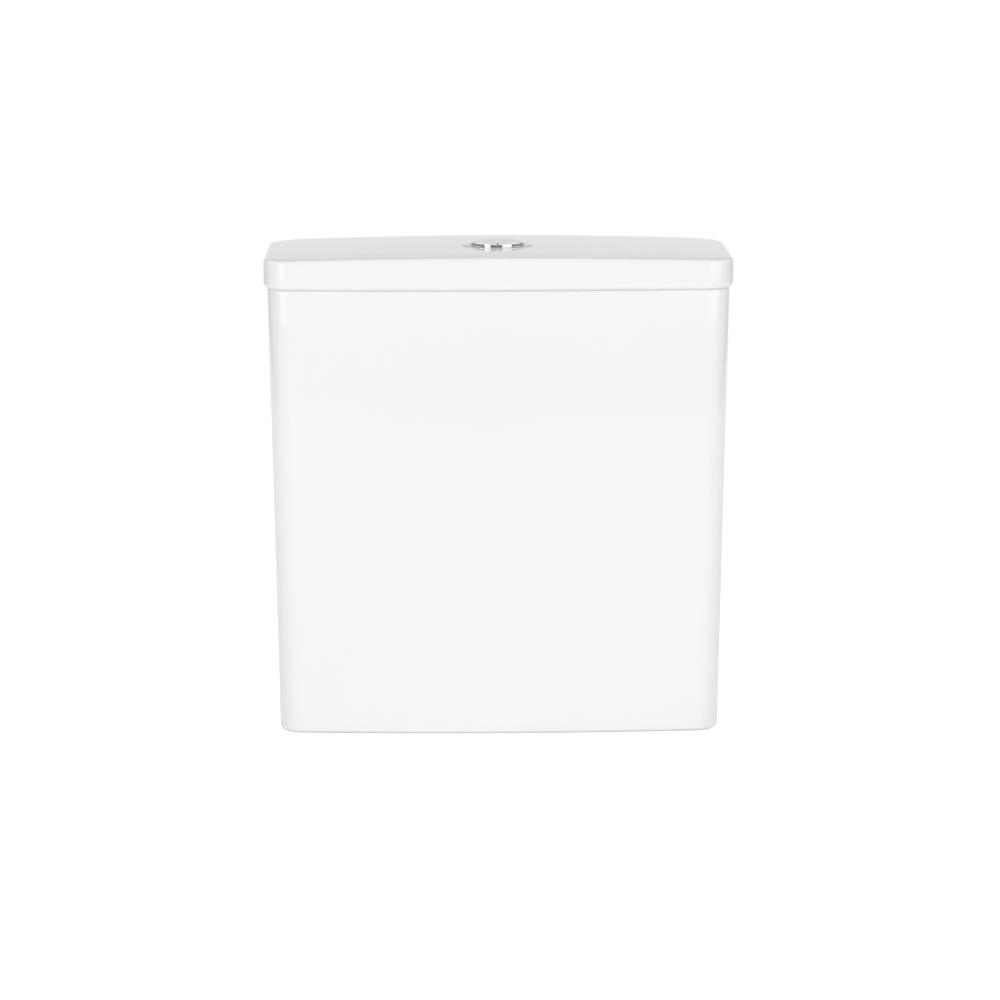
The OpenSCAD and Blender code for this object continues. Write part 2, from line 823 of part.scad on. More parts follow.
module valve_cage() {
    window_w = 2 * cage_r * sin(180 / cage_windows) - cage_post_w;
    color(white_plastic) {
        difference() {
            disc(cage_r, flange_top_z, cage_top_z);
            disc(cage_r - cage_wall, flange_top_z - cut, cage_roof_z);
            disc(guide_r, cage_roof_z - cut, cage_top_z + cut);
            for (i = [0:cage_windows - 1])
                rotate(i * 360 / cage_windows)
                    block(cage_r, 0, cage_r, window_w, flange_top_z + cage_ring_h,
                        cage_roof_z - cage_ring_h / 2);
        }
        ring(guide_out_r, guide_r, cage_top_z - cut, cage_top_z + guide_h);
        translate([-link_x, 0, 0]) {
            disc(float_bracket_w / 2, float_bracket_z, float_bracket_z + float_bracket_t);
            disc(float_post_r, float_bracket_z, float_bracket_z + float_bracket_t + float_post_h);
        }
        block(-(link_x + cage_r - cage_wall / 2) / 2, 0, link_x - cage_r + cage_wall / 2, float_bracket_w,
            float_bracket_z, float_bracket_z + float_bracket_t);
    }
}

// Two notched rails that carry the valve head, on a ring round the stem guide
module valve_tower() {
    color(white_plastic) {
        ring(rail_y + rail_t + rail_foot_out, guide_out_r + seat_gap, cage_top_z, cage_top_z + rail_foot_t);
        for (s = [-1, 1])
            difference() {
                block(0, s * (rail_y + rail_t / 2), rail_w, rail_t, cage_top_z, head_z);
                for (i = [1:rail_notches])
                    block(0, s * (rail_y + rail_t), rail_w + cut, 2 * rail_notch_depth,
                        head_z - head_socket_h - i * rail_notch_pitch,
                        head_z - head_socket_h - i * rail_notch_pitch + rail_notch_h);
            }
    }
}

module rounded_plate(lx, ly, r, z0, z1) {
    block(0, 0, lx - 2 * r, ly, z0, z1);
    block(0, 0, lx, ly - 2 * r, z0, z1);
    for (sx = [-1, 1])
        for (sy = [-1, 1])
            translate([sx * (lx / 2 - r), sy * (ly / 2 - r), 0])
                disc(r, z0, z1);
}

module valve_head() {
    socket_lx = rail_w + 2 * (seat_gap + head_socket_wall);
    socket_ly = rail_t + 2 * (seat_gap + head_socket_wall);
    color(grey_plastic) {
        difference() {
            union() {
                rounded_plate(head_lx, head_ly, head_corner_r, head_z, head_top_z);
                for (s = [-1, 1])
                    block(0, s * (rail_y + rail_t / 2), socket_lx, socket_ly, head_z - head_socket_h,
                        head_z + cut);
            }
            disc(overflow_r + head_tube_gap, head_z - cut, head_top_z + cut);
            for (s = [-1, 1])
                block(0, s * (rail_y + rail_t / 2), rail_w + 2 * seat_gap, rail_t + 2 * seat_gap,
                    head_z - head_socket_h - cut, head_z);
        }
        for (sx = [-1, 1])
            for (sy = [-1, 1])
                translate([sx * pivot_x, sy * (ear_y + ear_t / 2), 0])
                    difference() {
                        union() {
                            block(0, 0, ear_w, ear_t, head_top_z - cut, lever_pivot_z);
                            translate([0, 0, lever_pivot_z])
                                rod_y_axis(ear_w / 2, ear_t);
                        }
                        translate([0, 0, lever_pivot_z])
                            rod_y_axis(lever_pin_r + run_gap, ear_t + 2 * cut);
                    }
    }
}

module lever_pins() {
    color(steel)
        for (s = [-1, 1])
            translate([s * pivot_x, 0, lever_pivot_z])
                rod_y_axis(lever_pin_r, 2 * (ear_y + ear_t) + 2 * pin_proud);
}

// A rocking lever: a pad under the push rod, a hub on its pin and a slotted fork round the pull link
module flush_lever(side) {
    slot_r = link_pin_r + fork_play;
    fork_x = link_arm + fork_reach / 2;
    fork_end = link_arm + fork_reach + slot_r + fork_wall;
    fork_t = 2 * (slot_r + fork_wall);
    fork_root = link_arm - fork_root_back;
    translate([side * pivot_x, 0, lever_pivot_z])
        difference() {
            union() {
                rod_y_axis(lever_hub_r, lever_w);
                block(-side * lever_arm / 2, 0, lever_arm, lever_w, lever_pad_rise - lever_t, lever_pad_rise);
                translate([-side * lever_arm, 0, 0])
                    disc(lever_w / 2, lever_pad_rise - lever_t, lever_pad_rise);
                block(side * fork_root / 2, 0, fork_root, lever_w, -lever_t / 2, lever_t / 2);
                block(side * (fork_root + fork_end) / 2, 0, fork_end - fork_root, lever_w,
                    -fork_t / 2, fork_t / 2);
            }
            rod_y_axis(lever_pin_r + run_gap, lever_w + 2 * cut);
            block(side * (fork_root + fork_wall + fork_end) / 2, 0,
                fork_end - fork_root - fork_wall + 2 * cut, fork_gap, -fork_t, fork_t);
            block(side * fork_x, 0, fork_reach + 2 * slot_r, lever_w + 2 * cut, -slot_r, slot_r);
        }
}

module full_lever() {
    color(white_plastic)
        flush_lever(1);
}

module half_lever() {
    color(blue_plastic)
        flush_lever(-1);
}

// The overflow tube is the stem of the flush valve; its foot flange holds the seal from below
module overflow_tube() {
    color(white_plastic)
        rotate_extrude()
            polygon([[overflow_r - overflow_wall, stem_foot_z], [stem_flange_r, stem_foot_z],
                [stem_flange_r, seat_z], [overflow_r, seat_z], [overflow_r, stem_top_z],
                [overflow_r - overflow_wall, stem_top_z]]);
}

module flush_seal() {
    color(red_rubber)
        ring(flush_seal_r, overflow_r + seat_gap, seat_z, seat_z + flush_seal_t);
}

module seal_retainer() {
    low = seat_z + flush_seal_t;
    color(white_plastic)
        rotate_extrude()
            polygon([[overflow_r + seat_gap, low], [retainer_r, low], [retainer_r, low + retainer_t],
                [retainer_hub_r, low + retainer_t], [retainer_hub_r, low + retainer_hub_h],
                [overflow_r + seat_gap, low + retainer_hub_h]]);
}

module stem_collar() {
    inner = overflow_r + seat_gap;
    color(white_plastic)
        difference() {
            union() {
                disc(inner + collar_wall, collar_z, collar_z + collar_h);
                block((inner + link_x) / 2, 0, link_x - inner, collar_arm_w, collar_z,
                    collar_z + collar_arm_t);
                translate([link_x, 0, 0])
                    disc(collar_arm_w / 2, collar_z, collar_z + collar_arm_t);
            }
            disc(inner, collar_z - cut, collar_z + collar_h + cut);
            translate([link_x, 0, 0])
                disc(link_r + seat_gap, collar_z - cut, collar_z + collar_arm_t + cut);
        }
}

// A pull link: a thin rod with a cross pin in the lever's fork
module pull_link(x, low) {
    translate([x, 0, 0]) {
        disc(link_r, low, lever_pivot_z + link_top);
        translate([0, 0, lever_pivot_z])
            rod_y_axis(link_pin_r, link_pin_l);
    }
}

module full_link() {
    color(steel) {
        pull_link(link_x, collar_z - link_head_h);
        translate([link_x, 0, 0])
            disc(link_head_r, collar_z - link_head_h, collar_z);
    }
}

module half_link() {
    color(steel)
        pull_link(-link_x, half_float_top_z - half_link_depth);
}

module half_flush_float() {
    color(blue_plastic)
        translate([-link_x, 0, 0])
            difference() {
                disc(half_float_d / 2, half_float_z, half_float_top_z);
                disc(float_post_r + slide_gap, half_float_z - cut,
                    half_float_z + float_post_h + float_post_top);
                disc(link_r + seat_gap, half_float_top_z - half_link_depth, half_float_top_z + cut);
            }
}

module coupling_bolts() {
    head_low = floor_z + bolt_seal_t;
    color(brass)
        at_bolts()
            difference() {
                union() {
                    disc(bolt_r, bolt_end_z, bolt_step_z + cut);
                    disc(bolt_shank_r, bolt_step_z, head_low + cut);
                    disc(bolt_head_r, head_low, head_low + bolt_head_h);
                }
                block(0, 0, 2 * bolt_head_r + cut, bolt_slot_w, head_low + bolt_head_h - bolt_slot_depth,
                    head_low + bolt_head_h + cut);
            }
}

module coupling_bolt_seals() {
    color(black_rubber)
        at_bolts()
            difference() {
                union() {
                    disc(bolt_seal_r, floor_z, floor_z + bolt_seal_t);
                    disc(bolt_hole_d / 2 - slide_gap, floor_z - bolt_seal_plug, floor_z + cut);
                }
                disc(bolt_shank_r + seat_gap, floor_z - bolt_seal_plug - cut, floor_z + bolt_seal_t + cut);
            }
}

module coupling_bolt_washers() {
    color(steel)
        at_bolts()
            ring(bolt_washer_r, bolt_shank_r + seat_gap, skirt_h - bolt_washer_t, skirt_h);
}

module coupling_bolt_nuts() {
    top = skirt_h - bolt_washer_t;
    color(brass)
        at_bolts()
            difference() {
                translate([0, 0, top - bolt_nut_h])
                    cylinder(d = bolt_nut_af * hex_corner, h = bolt_nut_h, $fn = hex_n);
                disc(bolt_shank_r + seat_gap, top - bolt_nut_h - cut, top + cut);
            }
}

module inlet_shank() {
    low = floor_z + inlet_washer_t;
    color(white_plastic)
        at_inlet()
            rotate_extrude()
                polygon([[shank_bore_d / 2, shank_end_z], [shank_end_r, shank_end_z],
                    [shank_end_r, shank_step_z], [shank_r, shank_step_z], [shank_r, low],
                    [inlet_flange_r, low], [inlet_flange_r, inlet_top_z], [spigot_r, inlet_top_z],
                    [spigot_r, inlet_top_z + spigot_h], [shank_bore_d / 2, inlet_top_z + spigot_h]]);
}

module inlet_filter() {
    low = shank_end_z + filter_in;
    outer = shank_bore_d / 2 - seat_gap;
    color(grey_plastic)
        at_inlet()
            difference() {
                disc(outer, low, low + filter_h);
                disc(outer - filter_wall, low - cut, low + filter_h - filter_wall);
            }
}

module inlet_washer() {
    color(black_rubber)
        at_inlet()
            ring(inlet_flange_r, shank_r + seat_gap, floor_z, floor_z + inlet_washer_t);
}

module inlet_locknut() {
    color(white_plastic)
        at_inlet()
            lug_nut(inlet_nut_r, shank_r + seat_gap, inlet_nut_lugs, inlet_nut_lug, inlet_nut_lug_w,
                skirt_h - inlet_nut_h, skirt_h);
}

module fill_riser() {
    color(white_plastic)
        at_inlet()
            ring(riser_r, riser_bore_r, inlet_top_z, fill_head_z + riser_socket);
}

module fill_head() {
    block_top = fill_cap_z - arm_block_drop;
    block_y = float_pivot_y + arm_ear_w / 2;
    color(white_plastic)
        at_inlet()
            difference() {
                union() {
                    disc(fill_head_r, fill_head_z, fill_cap_z);
                    block(0, (fill_head_r / 2 + block_y) / 2, 2 * (arm_ear_x + arm_ear_t),
                        block_y - fill_head_r / 2, block_top - arm_block_h, block_top);
                    for (s = [-1, 1])
                        translate([s * (arm_ear_x + arm_ear_t / 2), float_pivot_y, 0]) {
                            block(0, 0, arm_ear_t, arm_ear_w, block_top - arm_block_h, fill_pivot_z);
                            translate([0, 0, fill_pivot_z])
                                rod_x_axis(arm_ear_w / 2, arm_ear_t);
                        }
                }
                disc(riser_r + seat_gap, fill_head_z - cut, fill_head_z + riser_socket);
                disc(head_bore_r, fill_head_z, fill_cap_z);
                disc(diaphragm_r + slide_gap, fill_cap_z - diaphragm_pocket, fill_cap_z + cut);
                translate([0, float_pivot_y, fill_pivot_z])
                    rod_x_axis(arm_pin_r + run_gap, arm_pin_l);
            }
}

module fill_diaphragm() {
    low = fill_cap_z - diaphragm_pocket;
    color(black_rubber)
        at_inlet()
            disc(diaphragm_r, low, low + diaphragm_t);
}

module fill_cap() {
    color(blue_plastic)
        at_inlet() {
            disc(fill_head_r, fill_cap_z, fill_cap_top_z);
            disc(diaphragm_r, fill_cap_z - diaphragm_pocket + diaphragm_t, fill_cap_z + cut);
            disc(pilot_r, fill_cap_top_z - cut, fill_cap_top_z + pilot_h);
            ribs(fill_cap_ribs, fill_head_r, fill_cap_rib, fill_cap_rib_w, fill_cap_z, fill_cap_top_z);
        }
}

// The arm turns on a pin behind the cap; its fork holds the float rod in front of the cap
module float_arm() {
    slot_r = float_pin_r + fork_play;
    fork_y = arm_len / cos(arm_angle);
    fork_end = fork_y + slot_r + fork_wall;
    fork_t = 2 * (slot_r + fork_wall);
    fork_root = fork_y - fork_root_back;
    color(white_plastic)
        at_inlet()
            translate([0, float_pivot_y, fill_pivot_z])
                rotate([arm_angle, 0, 0])
                    difference() {
                        union() {
                            rod_x_axis(arm_hub_r, arm_w);
                            block(0, -fork_root / 2, arm_w, fork_root, -arm_t / 2, arm_t / 2);
                            block(0, -(fork_root + fork_end) / 2, arm_w, fork_end - fork_root,
                                -fork_t / 2, fork_t / 2);
                        }
                        rod_x_axis(arm_pin_r + run_gap, arm_w + 2 * cut);
                        block(0, -(fork_root + fork_wall + fork_end) / 2, fork_gap,
                            fork_end - fork_root - fork_wall + 2 * cut, -fork_t, fork_t);
                        block(0, -(arm_len + fork_y) / 2, arm_w + 2 * cut, fork_y - arm_len + 2 * slot_r,
                            -slot_r, slot_r);
                    }
}

module float_arm_pin() {
    color(steel)
        at_inlet()
            translate([0, float_pivot_y, fill_pivot_z])
                rod_x_axis(arm_pin_r, arm_pin_l);
}

// An upside-down cup round the riser with a socket for its rod
module float_cup() {
    inner = riser_r + float_gap;
    color(white_plastic)
        at_inlet()
            difference() {
                union() {
                    rotate_extrude()
                        polygon([[inner, float_z], [inner + float_wall, float_z],
                            [inner + float_wall, float_top_z - float_roof],
                            [float_r - float_wall, float_top_z - float_roof],
                            [float_r - float_wall, float_z], [float_r, float_z],
                            [float_r, float_top_z], [inner, float_top_z]]);
                    translate([0, -float_rod_y, 0])
                        disc(float_boss_r, float_top_z - float_rod_depth - float_roof, float_top_z);
                }
                translate([0, -float_rod_y, 0])
                    disc(link_r + seat_gap, float_top_z - float_rod_depth, float_top_z + cut);
            }
}

module float_rod() {
    color(steel)
        at_inlet()
            translate([0, -float_rod_y, 0]) {
                disc(link_r, float_top_z - float_rod_depth, float_pin_z + link_top);
                translate([0, 0, float_pin_z])
                    rod_x_axis(float_pin_r, arm_w + 2 * pin_proud);
            }
}

module float_adjuster() {
    color(blue_plastic)
        at_inlet()
            translate([0, -float_rod_y, 0])
                lug_nut(adjuster_r, link_r + seat_gap, adjuster_ribs, adjuster_rib, adjuster_rib_w,
                    float_top_z, float_top_z + adjuster_h);
}

tank();
lid();
button_bezel();
bezel_gasket();
bezel_nut();
full_flush_button();
half_flush_button();
full_button_spring();
half_button_spring();
full_push_rod();
half_push_rod();
valve_base();
valve_base_gasket();
valve_locknut();
coupling_seal();
valve_cage();
valve_tower();
valve_head();
lever_pins();
full_lever();
half_lever();
overflow_tube();
flush_seal();
seal_retainer();
stem_collar();
full_link();
half_link();
half_flush_float();
coupling_bolts();
coupling_bolt_seals();
coupling_bolt_washers();
coupling_bolt_nuts();
inlet_shank();
inlet_filter();
inlet_washer();
inlet_locknut();
fill_riser();
fill_head();
fill_diaphragm();
fill_cap();
float_arm();
float_arm_pin();
float_cup();
float_rod();
float_adjuster();
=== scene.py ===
"""A close-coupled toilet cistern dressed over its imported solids: glazed china, a chrome dual-flush
button, and the moulded, rubber and metal pieces of the flush and fill valves."""

import json
import math
from functools import partial
from types import SimpleNamespace

import bmesh
import bpy
from bpy.props import FloatProperty, FloatVectorProperty, PointerProperty
from mathutils import Matrix, Vector


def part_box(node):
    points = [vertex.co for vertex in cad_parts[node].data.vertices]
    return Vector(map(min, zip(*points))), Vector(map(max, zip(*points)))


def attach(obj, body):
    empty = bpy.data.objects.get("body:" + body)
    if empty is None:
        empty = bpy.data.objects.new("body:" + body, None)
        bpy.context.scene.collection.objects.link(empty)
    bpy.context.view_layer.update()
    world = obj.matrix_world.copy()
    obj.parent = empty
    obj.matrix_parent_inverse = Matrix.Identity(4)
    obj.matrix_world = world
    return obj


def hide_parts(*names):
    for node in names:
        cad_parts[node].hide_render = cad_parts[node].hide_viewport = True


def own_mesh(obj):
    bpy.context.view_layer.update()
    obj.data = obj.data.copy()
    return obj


bl_info = {
    "name": "Toilet cistern",
    "version": (1, 0, 0),
    "blender": (4, 5, 0),
    "location": "View3D > Sidebar > Cistern",
    "description": "Builds the looks of a close-coupled toilet cistern round its solids",
    "category": "Object",
}

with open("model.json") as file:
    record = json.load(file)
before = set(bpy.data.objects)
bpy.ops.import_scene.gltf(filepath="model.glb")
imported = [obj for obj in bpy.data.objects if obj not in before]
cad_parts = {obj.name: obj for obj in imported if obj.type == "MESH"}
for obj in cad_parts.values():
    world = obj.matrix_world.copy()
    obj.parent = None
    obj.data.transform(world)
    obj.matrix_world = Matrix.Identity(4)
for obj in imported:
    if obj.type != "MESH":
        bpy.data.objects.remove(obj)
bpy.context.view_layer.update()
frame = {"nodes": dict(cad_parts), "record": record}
TANK_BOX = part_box("tank")
BEZEL_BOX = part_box("button_bezel")
BUTTON_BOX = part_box("full_flush_button")
BODY_OF = {node: body for body, nodes in frame["record"]["behaviour"]["bodies"].items() for node in nodes}
SLOT_OF = {part["node"]: part["material_slot"] for part in frame["record"]["subparts"]}
SIDES = ((1, "full"), (-1, "half"))
MM = 0.001
WHITE = (1.0, 1.0, 1.0, 1.0)


# Settings

def size(label, words, value):
    """A length property in metres, from a value in millimetres."""
    return FloatProperty(name=label, description=words, default=value * MM, min=0.0, precision=5,
                         unit="LENGTH")


def bearing(label, words, degrees):
    """An angle property, from a value in degrees."""
    return FloatProperty(name=label, description=words, default=math.radians(degrees), subtype="ANGLE")


def power(label, words, watts):
    """The power of a lamp."""
    return FloatProperty(name=label, description=words, default=watts, unit="POWER")


def brightness(label, words, value):
    """A brightness, where 1 is white."""
    return FloatProperty(name=label, description=words, default=value)


def tint(label, words, value):
    """A colour property, linear."""
    return FloatVectorProperty(name=label, description=words, default=value, size=3, min=0.0, max=1.0,
                               subtype="COLOR")


class CisternChina(bpy.types.PropertyGroup):
    """Sizes of the china tank and its lid."""

    rim_w: size("Rim width", "Width of the tank at its rim", (TANK_BOX[1].x - TANK_BOX[0].x) / MM)
    foot_w: size("Foot width", "Width of the tank at its foot", 357)
    rim_z: size("Rim height", "Height of the rim above the foot", TANK_BOX[1].z / MM)
    back_y: size("Back", "Distance of the flat back from the middle", TANK_BOX[1].y / MM)
    front_y: size("Front", "Distance of the bowed front from the middle", -TANK_BOX[0].y / MM)
    lean: size("Lean", "How far the front leans back from rim to foot", 3.5)
    bow: size("Bow", "How far the middle of the front stands proud of its ends", 7.5)
    front_r: size("Front corner", "Radius of the front corners in plan", 20)
    back_r: size("Back corner", "Radius of the back corners in plan", 26)
    wall: size("Wall", "Thickness of the china walls", 9)
    inner_r: size("Inner corner", "Radius of the front corners inside the tank", 12)
    skirt_wall: size("Skirt wall", "Thickness of the skirt below the base", 10)
    skirt_r: size("Skirt corner", "Radius of the front corners inside the skirt", 10)
    base_z: size("Base underside", "Height of the underside of the base", 50)
    floor_z: size("Floor", "Height of the floor inside the tank", 62)
    foot_r: size("Foot edge", "Radius of the foot's edges", 3)
    rim_r: size("Rim edge", "Radius of the rim's edges", 1.5)
    floor_r: size("Floor fillet", "Radius of the fillet round the floor", 10)
    skirt_fillet: size("Skirt fillet", "Radius of the fillet round the underside of the base", 5)
    outlet_hole: size("Outlet hole", "Diameter of the hole for the flush outlet", 65.6)
    inlet_hole: size("Inlet hole", "Diameter of the hole for the water inlet", 23.2)
    bolt_hole: size("Bolt holes", "Diameter of the holes for the coupling bolts", 12)
    wall_hole: size("Wall holes", "Diameter of the holes for the wall screws", 8)
    wall_hole_x: size("Wall hole spacing", "Distance of each wall screw's hole from the middle", 100)
    wall_hole_drop: size("Wall hole level", "How far the wall screws' holes lie below the rim", 30)
    lid_over: size("Lid overhang", "How far the lid stands out past the tank", 3)
    lid_h: size("Lid edge", "Height of the lid at its ends", 23)
    crown: size("Crown", "Rise of the lid from its ends to its middle", 3.6)
    crown_d: size("Depth crown", "Rise of the lid from its front edge to its middle", 1)
    lid_top_r: size("Lid top edge", "Radius of the lid's top edge", 3)
    lid_foot_r: size("Lid bottom edge", "Radius of the lid's bottom edge", 4.5)
    lid_corner_r: size("Lid corner", "Radius of the lid's front corners in plan", 23)
    lid_roof: size("Lid roof", "Thickness of the lid's roof at its ends", 8)
    lid_rim: size("Lid rim", "Width of the rim that rests on the tank", 13.5)
    lid_inner_r: size("Lid hollow corner", "Radius of the corners of the hollow under the lid", 8)
    lid_fillet: size("Lid fillet", "Radius of the fillet round the ceiling under the lid", 4)
    lid_chamfer: size("Lid chamfer", "Chamfer of the rim's inner edge under the lid", 0.8)
    lug_x: size("Lug spacing", "Distance of each lug's middle from the middle of the lid", 95)
    lug_l: size("Lug length", "Length of the lugs that locate the lid", 60)
    lug_w: size("Lug width", "Width of the lugs that locate the lid", 7)
    lug_drop: size("Lug depth", "How far the lugs reach down into the tank", 8)
    lug_gap: size("Lug gap", "Gap between each lug and the tank's wall", 3)
    button_hole: size("Button hole", "Diameter of the hole for the push button", 48)
    hole_ease: size("Button hole edge", "Chamfer of the button hole's edge", 0.6)
    seat_d: size("Button seat", "Diameter of the shallow seat round the hole", 58.1)
    seat_z: size("Seat level", "Height of the seat of the push button", 389.2)
    seat_lip: size("Seat lip", "Width of the eased edge round the seat", 0.25)


class CisternButton(bpy.types.PropertyGroup):
    """Sizes of the push button."""

    bezel_d: size("Bezel", "Outer diameter of the bezel", (BEZEL_BOX[1].x - BEZEL_BOX[0].x) / MM)
    bezel_h: size("Bezel height", "Height of the bezel's lip over its seat", 0.9)
    bezel_edge: size("Bezel edge", "Height of the bezel's outer edge", 0.6)
    lip_d: size("Bezel lip", "Diameter of the bezel's lip", 45.8)
    lip_drop: size("Bezel slope", "How far the bezel slopes in from its lip to its bore", 0.6)
    bore_d: size("Bezel bore", "Diameter of the bore round the buttons", 42.6)
    barrel_d: size("Barrel", "Diameter of the threaded barrel", 47)
    barrel_h: size("Barrel height", "Height of the barrel below the seat", 36)
    barrel_floor: size("Barrel floor", "Thickness of the barrel's floor", 3)
    guide_d: size("Plunger guides", "Diameter of the holes in the barrel's floor", 8.6)
    button_r: size("Button radius", "Radius of the pair of buttons", 21.0)
    top_z: size("Button top", "Height of the top of the buttons", BUTTON_BOX[1].z / MM)
    split: size("Split", "Gap between the two buttons", 0.8)
    crown_r: size("Button crown", "Radius of the crown across each button", 120)
    edge_r: size("Button edge", "Radius of the buttons' top edge", 0.7)
    cap_h: size("Cap height", "Height of each button's cap", 7)
    cap_roof: size("Cap roof", "Thickness of the cap's roof under its crown", 2.69)
    cap_wall: size("Cap wall", "Thickness of the cap's wall", 1.6)
    rod_x: size("Rod spacing", "Distance of each push rod from the middle", 10.2)
    plunger_d: size("Plunger", "Diameter of the plunger under each button", 8)
    plunger_z: size("Plunger foot", "Height of the plungers' lower end", BUTTON_BOX[0].z / MM)
    socket_d: size("Rod socket", "Diameter of the socket for each push rod", 5.4)
    socket_h: size("Rod socket depth", "Depth of the socket for each push rod", 10.1)


class CisternValves(bpy.types.PropertyGroup):
    """Where the pieces of the flush and fill valves stand."""

    bolt_x: size("Bolts", "Distance of each coupling bolt from the middle", 75)
    pivot_x: size("Lever pivots", "Distance of each lever's pivot from the middle", 30)
    link_x: size("Links", "Distance of each pull link from the middle", 56)
    inlet_x: size("Inlet", "Distance of the water inlet from the middle", 118)
    rod_y: size("Float rod", "Distance of the float's rod in front of the riser", 24)


class CisternColours(bpy.types.PropertyGroup):
    """Colours of the finishes, linear."""

    glaze: tint("Glaze", "Clear white glaze over china", (0.87, 0.87, 0.865))
    biscuit: tint("Biscuit", "Bare fired clay where the foot is wiped clean", (0.74, 0.70, 0.64))
    chrome: tint("Chrome", "Bright plating", (0.85, 0.86, 0.87))
    white_plastic: tint("White plastic", "Moulded valve pieces", (0.79, 0.79, 0.75))
    grey_plastic: tint("Grey plastic", "Moulded valve head", (0.27, 0.29, 0.31))
    blue_plastic: tint("Blue plastic", "Caps and adjusters", (0.02, 0.10, 0.36))
    black_rubber: tint("Black rubber", "Washers and the coupling seal", (0.022, 0.022, 0.022))
    red_rubber: tint("Red rubber", "Soft flush seal", (0.33, 0.035, 0.02))
    brass: tint("Brass", "Turned bolts and nuts", (0.72, 0.50, 0.20))
    steel: tint("Steel", "Drawn wire and pressed washers", (0.60, 0.60, 0.61))


class CisternStage(bpy.types.PropertyGroup):
    """Camera and light."""

    azimuth: bearing("Azimuth", "Camera angle round the object", -1.05)
    elevation: bearing("Elevation", "Camera angle above the horizon", 10.49)
    roll: bearing("Roll", "Camera roll", -0.07)
    distance: size("Distance", "Camera distance from its target", 3000)
    focal: FloatProperty(name="Focal length", description="Lens on a 36 mm sensor", default=134.65,
                         unit="CAMERA")
    left_power: power("Left soft box", "Power of the left soft box", 5.4)
    right_power: power("Right soft box", "Power of the right soft box", 7.0)
    fill_power: power("Front fill", "Power of the low fill light in front", 16.4)
    back_power: power("Back fill", "Power of the low fill light behind", 12.0)
    ambient: brightness("Ambient", "Strength of the even light from all round", 0.62)
    room: brightness("Room", "Brightness of the dark room that polished pieces show", 0.14)


class CisternSettings(bpy.types.PropertyGroup):
    """All settings of the cistern."""

    china: PointerProperty(type=CisternChina)
    button: PointerProperty(type=CisternButton)
    valves: PointerProperty(type=CisternValves)
    colours: PointerProperty(type=CisternColours)
    stage: PointerProperty(type=CisternStage)


def settings():
    """The settings that the scene holds."""
    return bpy.context.scene.cistern


def lengths(name):
    """A group of lengths from the settings, in millimetres."""
    group = getattr(settings(), name)
    return SimpleNamespace(**{key: getattr(group, key) / MM for key in group.__annotations__})


# Meshes. Helpers take millimetres; a mesh is in metres.

def skin(rings, loop=False):
    """A closed mesh through rings with the same number of points; a loop joins the last ring to the first.
    Between two rings that are points on an axis there is nothing to close."""
    count, last = len(rings[0]), len(rings) - 1
    points = [ring[0] == ring[1] for ring in rings]
    faces = []
    for a in range(len(rings) if loop else last):
        b = 0 if a == last else a + 1
        if points[a] and points[b]:
            continue
        for i in range(count):
            j = (i + 1) % count
            faces.append((a * count + i, a * count + j, b * count + j, b * count + i))
    if not loop:
        faces.append(tuple(range(count)))
        faces.append(tuple(range(last * count, (last + 1) * count)))
    mesh = bpy.data.meshes.new("skin")
    mesh.from_pydata([Vector(p) * MM for ring in rings for p in ring], [], faces)
    return tidied(mesh)


def tidied(mesh, merge=2e-6):
    """Merges doubles, drops what has no area and turns every face outwards."""
    bm = bmesh.new()
    bm.from_mesh(mesh)
    bmesh.ops.remove_doubles(bm, verts=bm.verts, dist=merge)
    bmesh.ops.dissolve_degenerate(bm, edges=bm.edges, dist=merge)
    wire = [edge for edge in bm.edges if not edge.link_faces]
    bmesh.ops.delete(bm, geom=wire, context="EDGES")
    bmesh.ops.recalc_face_normals(bm, faces=bm.faces)
    bm.to_mesh(mesh)
    bm.free()
    return mesh


def joined(*meshes):
    """Several meshes as one."""
    bm = bmesh.new()
    for mesh in meshes:
        bm.from_mesh(mesh)
    result = bpy.data.meshes.new("joined")
    bm.to_mesh(result)
    bm.free()
    return result


def moved(mesh, x, y, z, turn):
    """A mesh turned about the origin by a matrix, then moved by millimetres."""
    mesh.transform(turn)
    mesh.transform(Matrix.Translation(Vector((x, y, z)) * MM))
    return mesh


def loose(mesh):
    """A helper object that is not a piece; it goes again once it has served."""
    obj = bpy.data.objects.new("helper", mesh)
    bpy.context.scene.collection.objects.link(obj)
    return obj


def applied(obj):
    """The evaluated mesh of a helper object as a plain mesh; the object goes."""
    bpy.context.view_layer.update()
    mesh = bpy.data.meshes.new_from_object(obj.evaluated_get(bpy.context.evaluated_depsgraph_get()))
    bpy.data.objects.remove(obj)
    return mesh


def cut(mesh, *cutters, operation="DIFFERENCE"):
    """A mesh with closed cutter meshes taken out of it, or joined to it."""
    obj = loose(mesh)
    tools = [loose(cutter) for cutter in cutters]
    for tool in tools:
        modifier = obj.modifiers.new("cut", "BOOLEAN")
        modifier.operation = operation
        modifier.solver = "EXACT"
        modifier.object = tool
    result = applied(obj)
    for tool in tools:
        bpy.data.objects.remove(tool)
    return tidied(result)


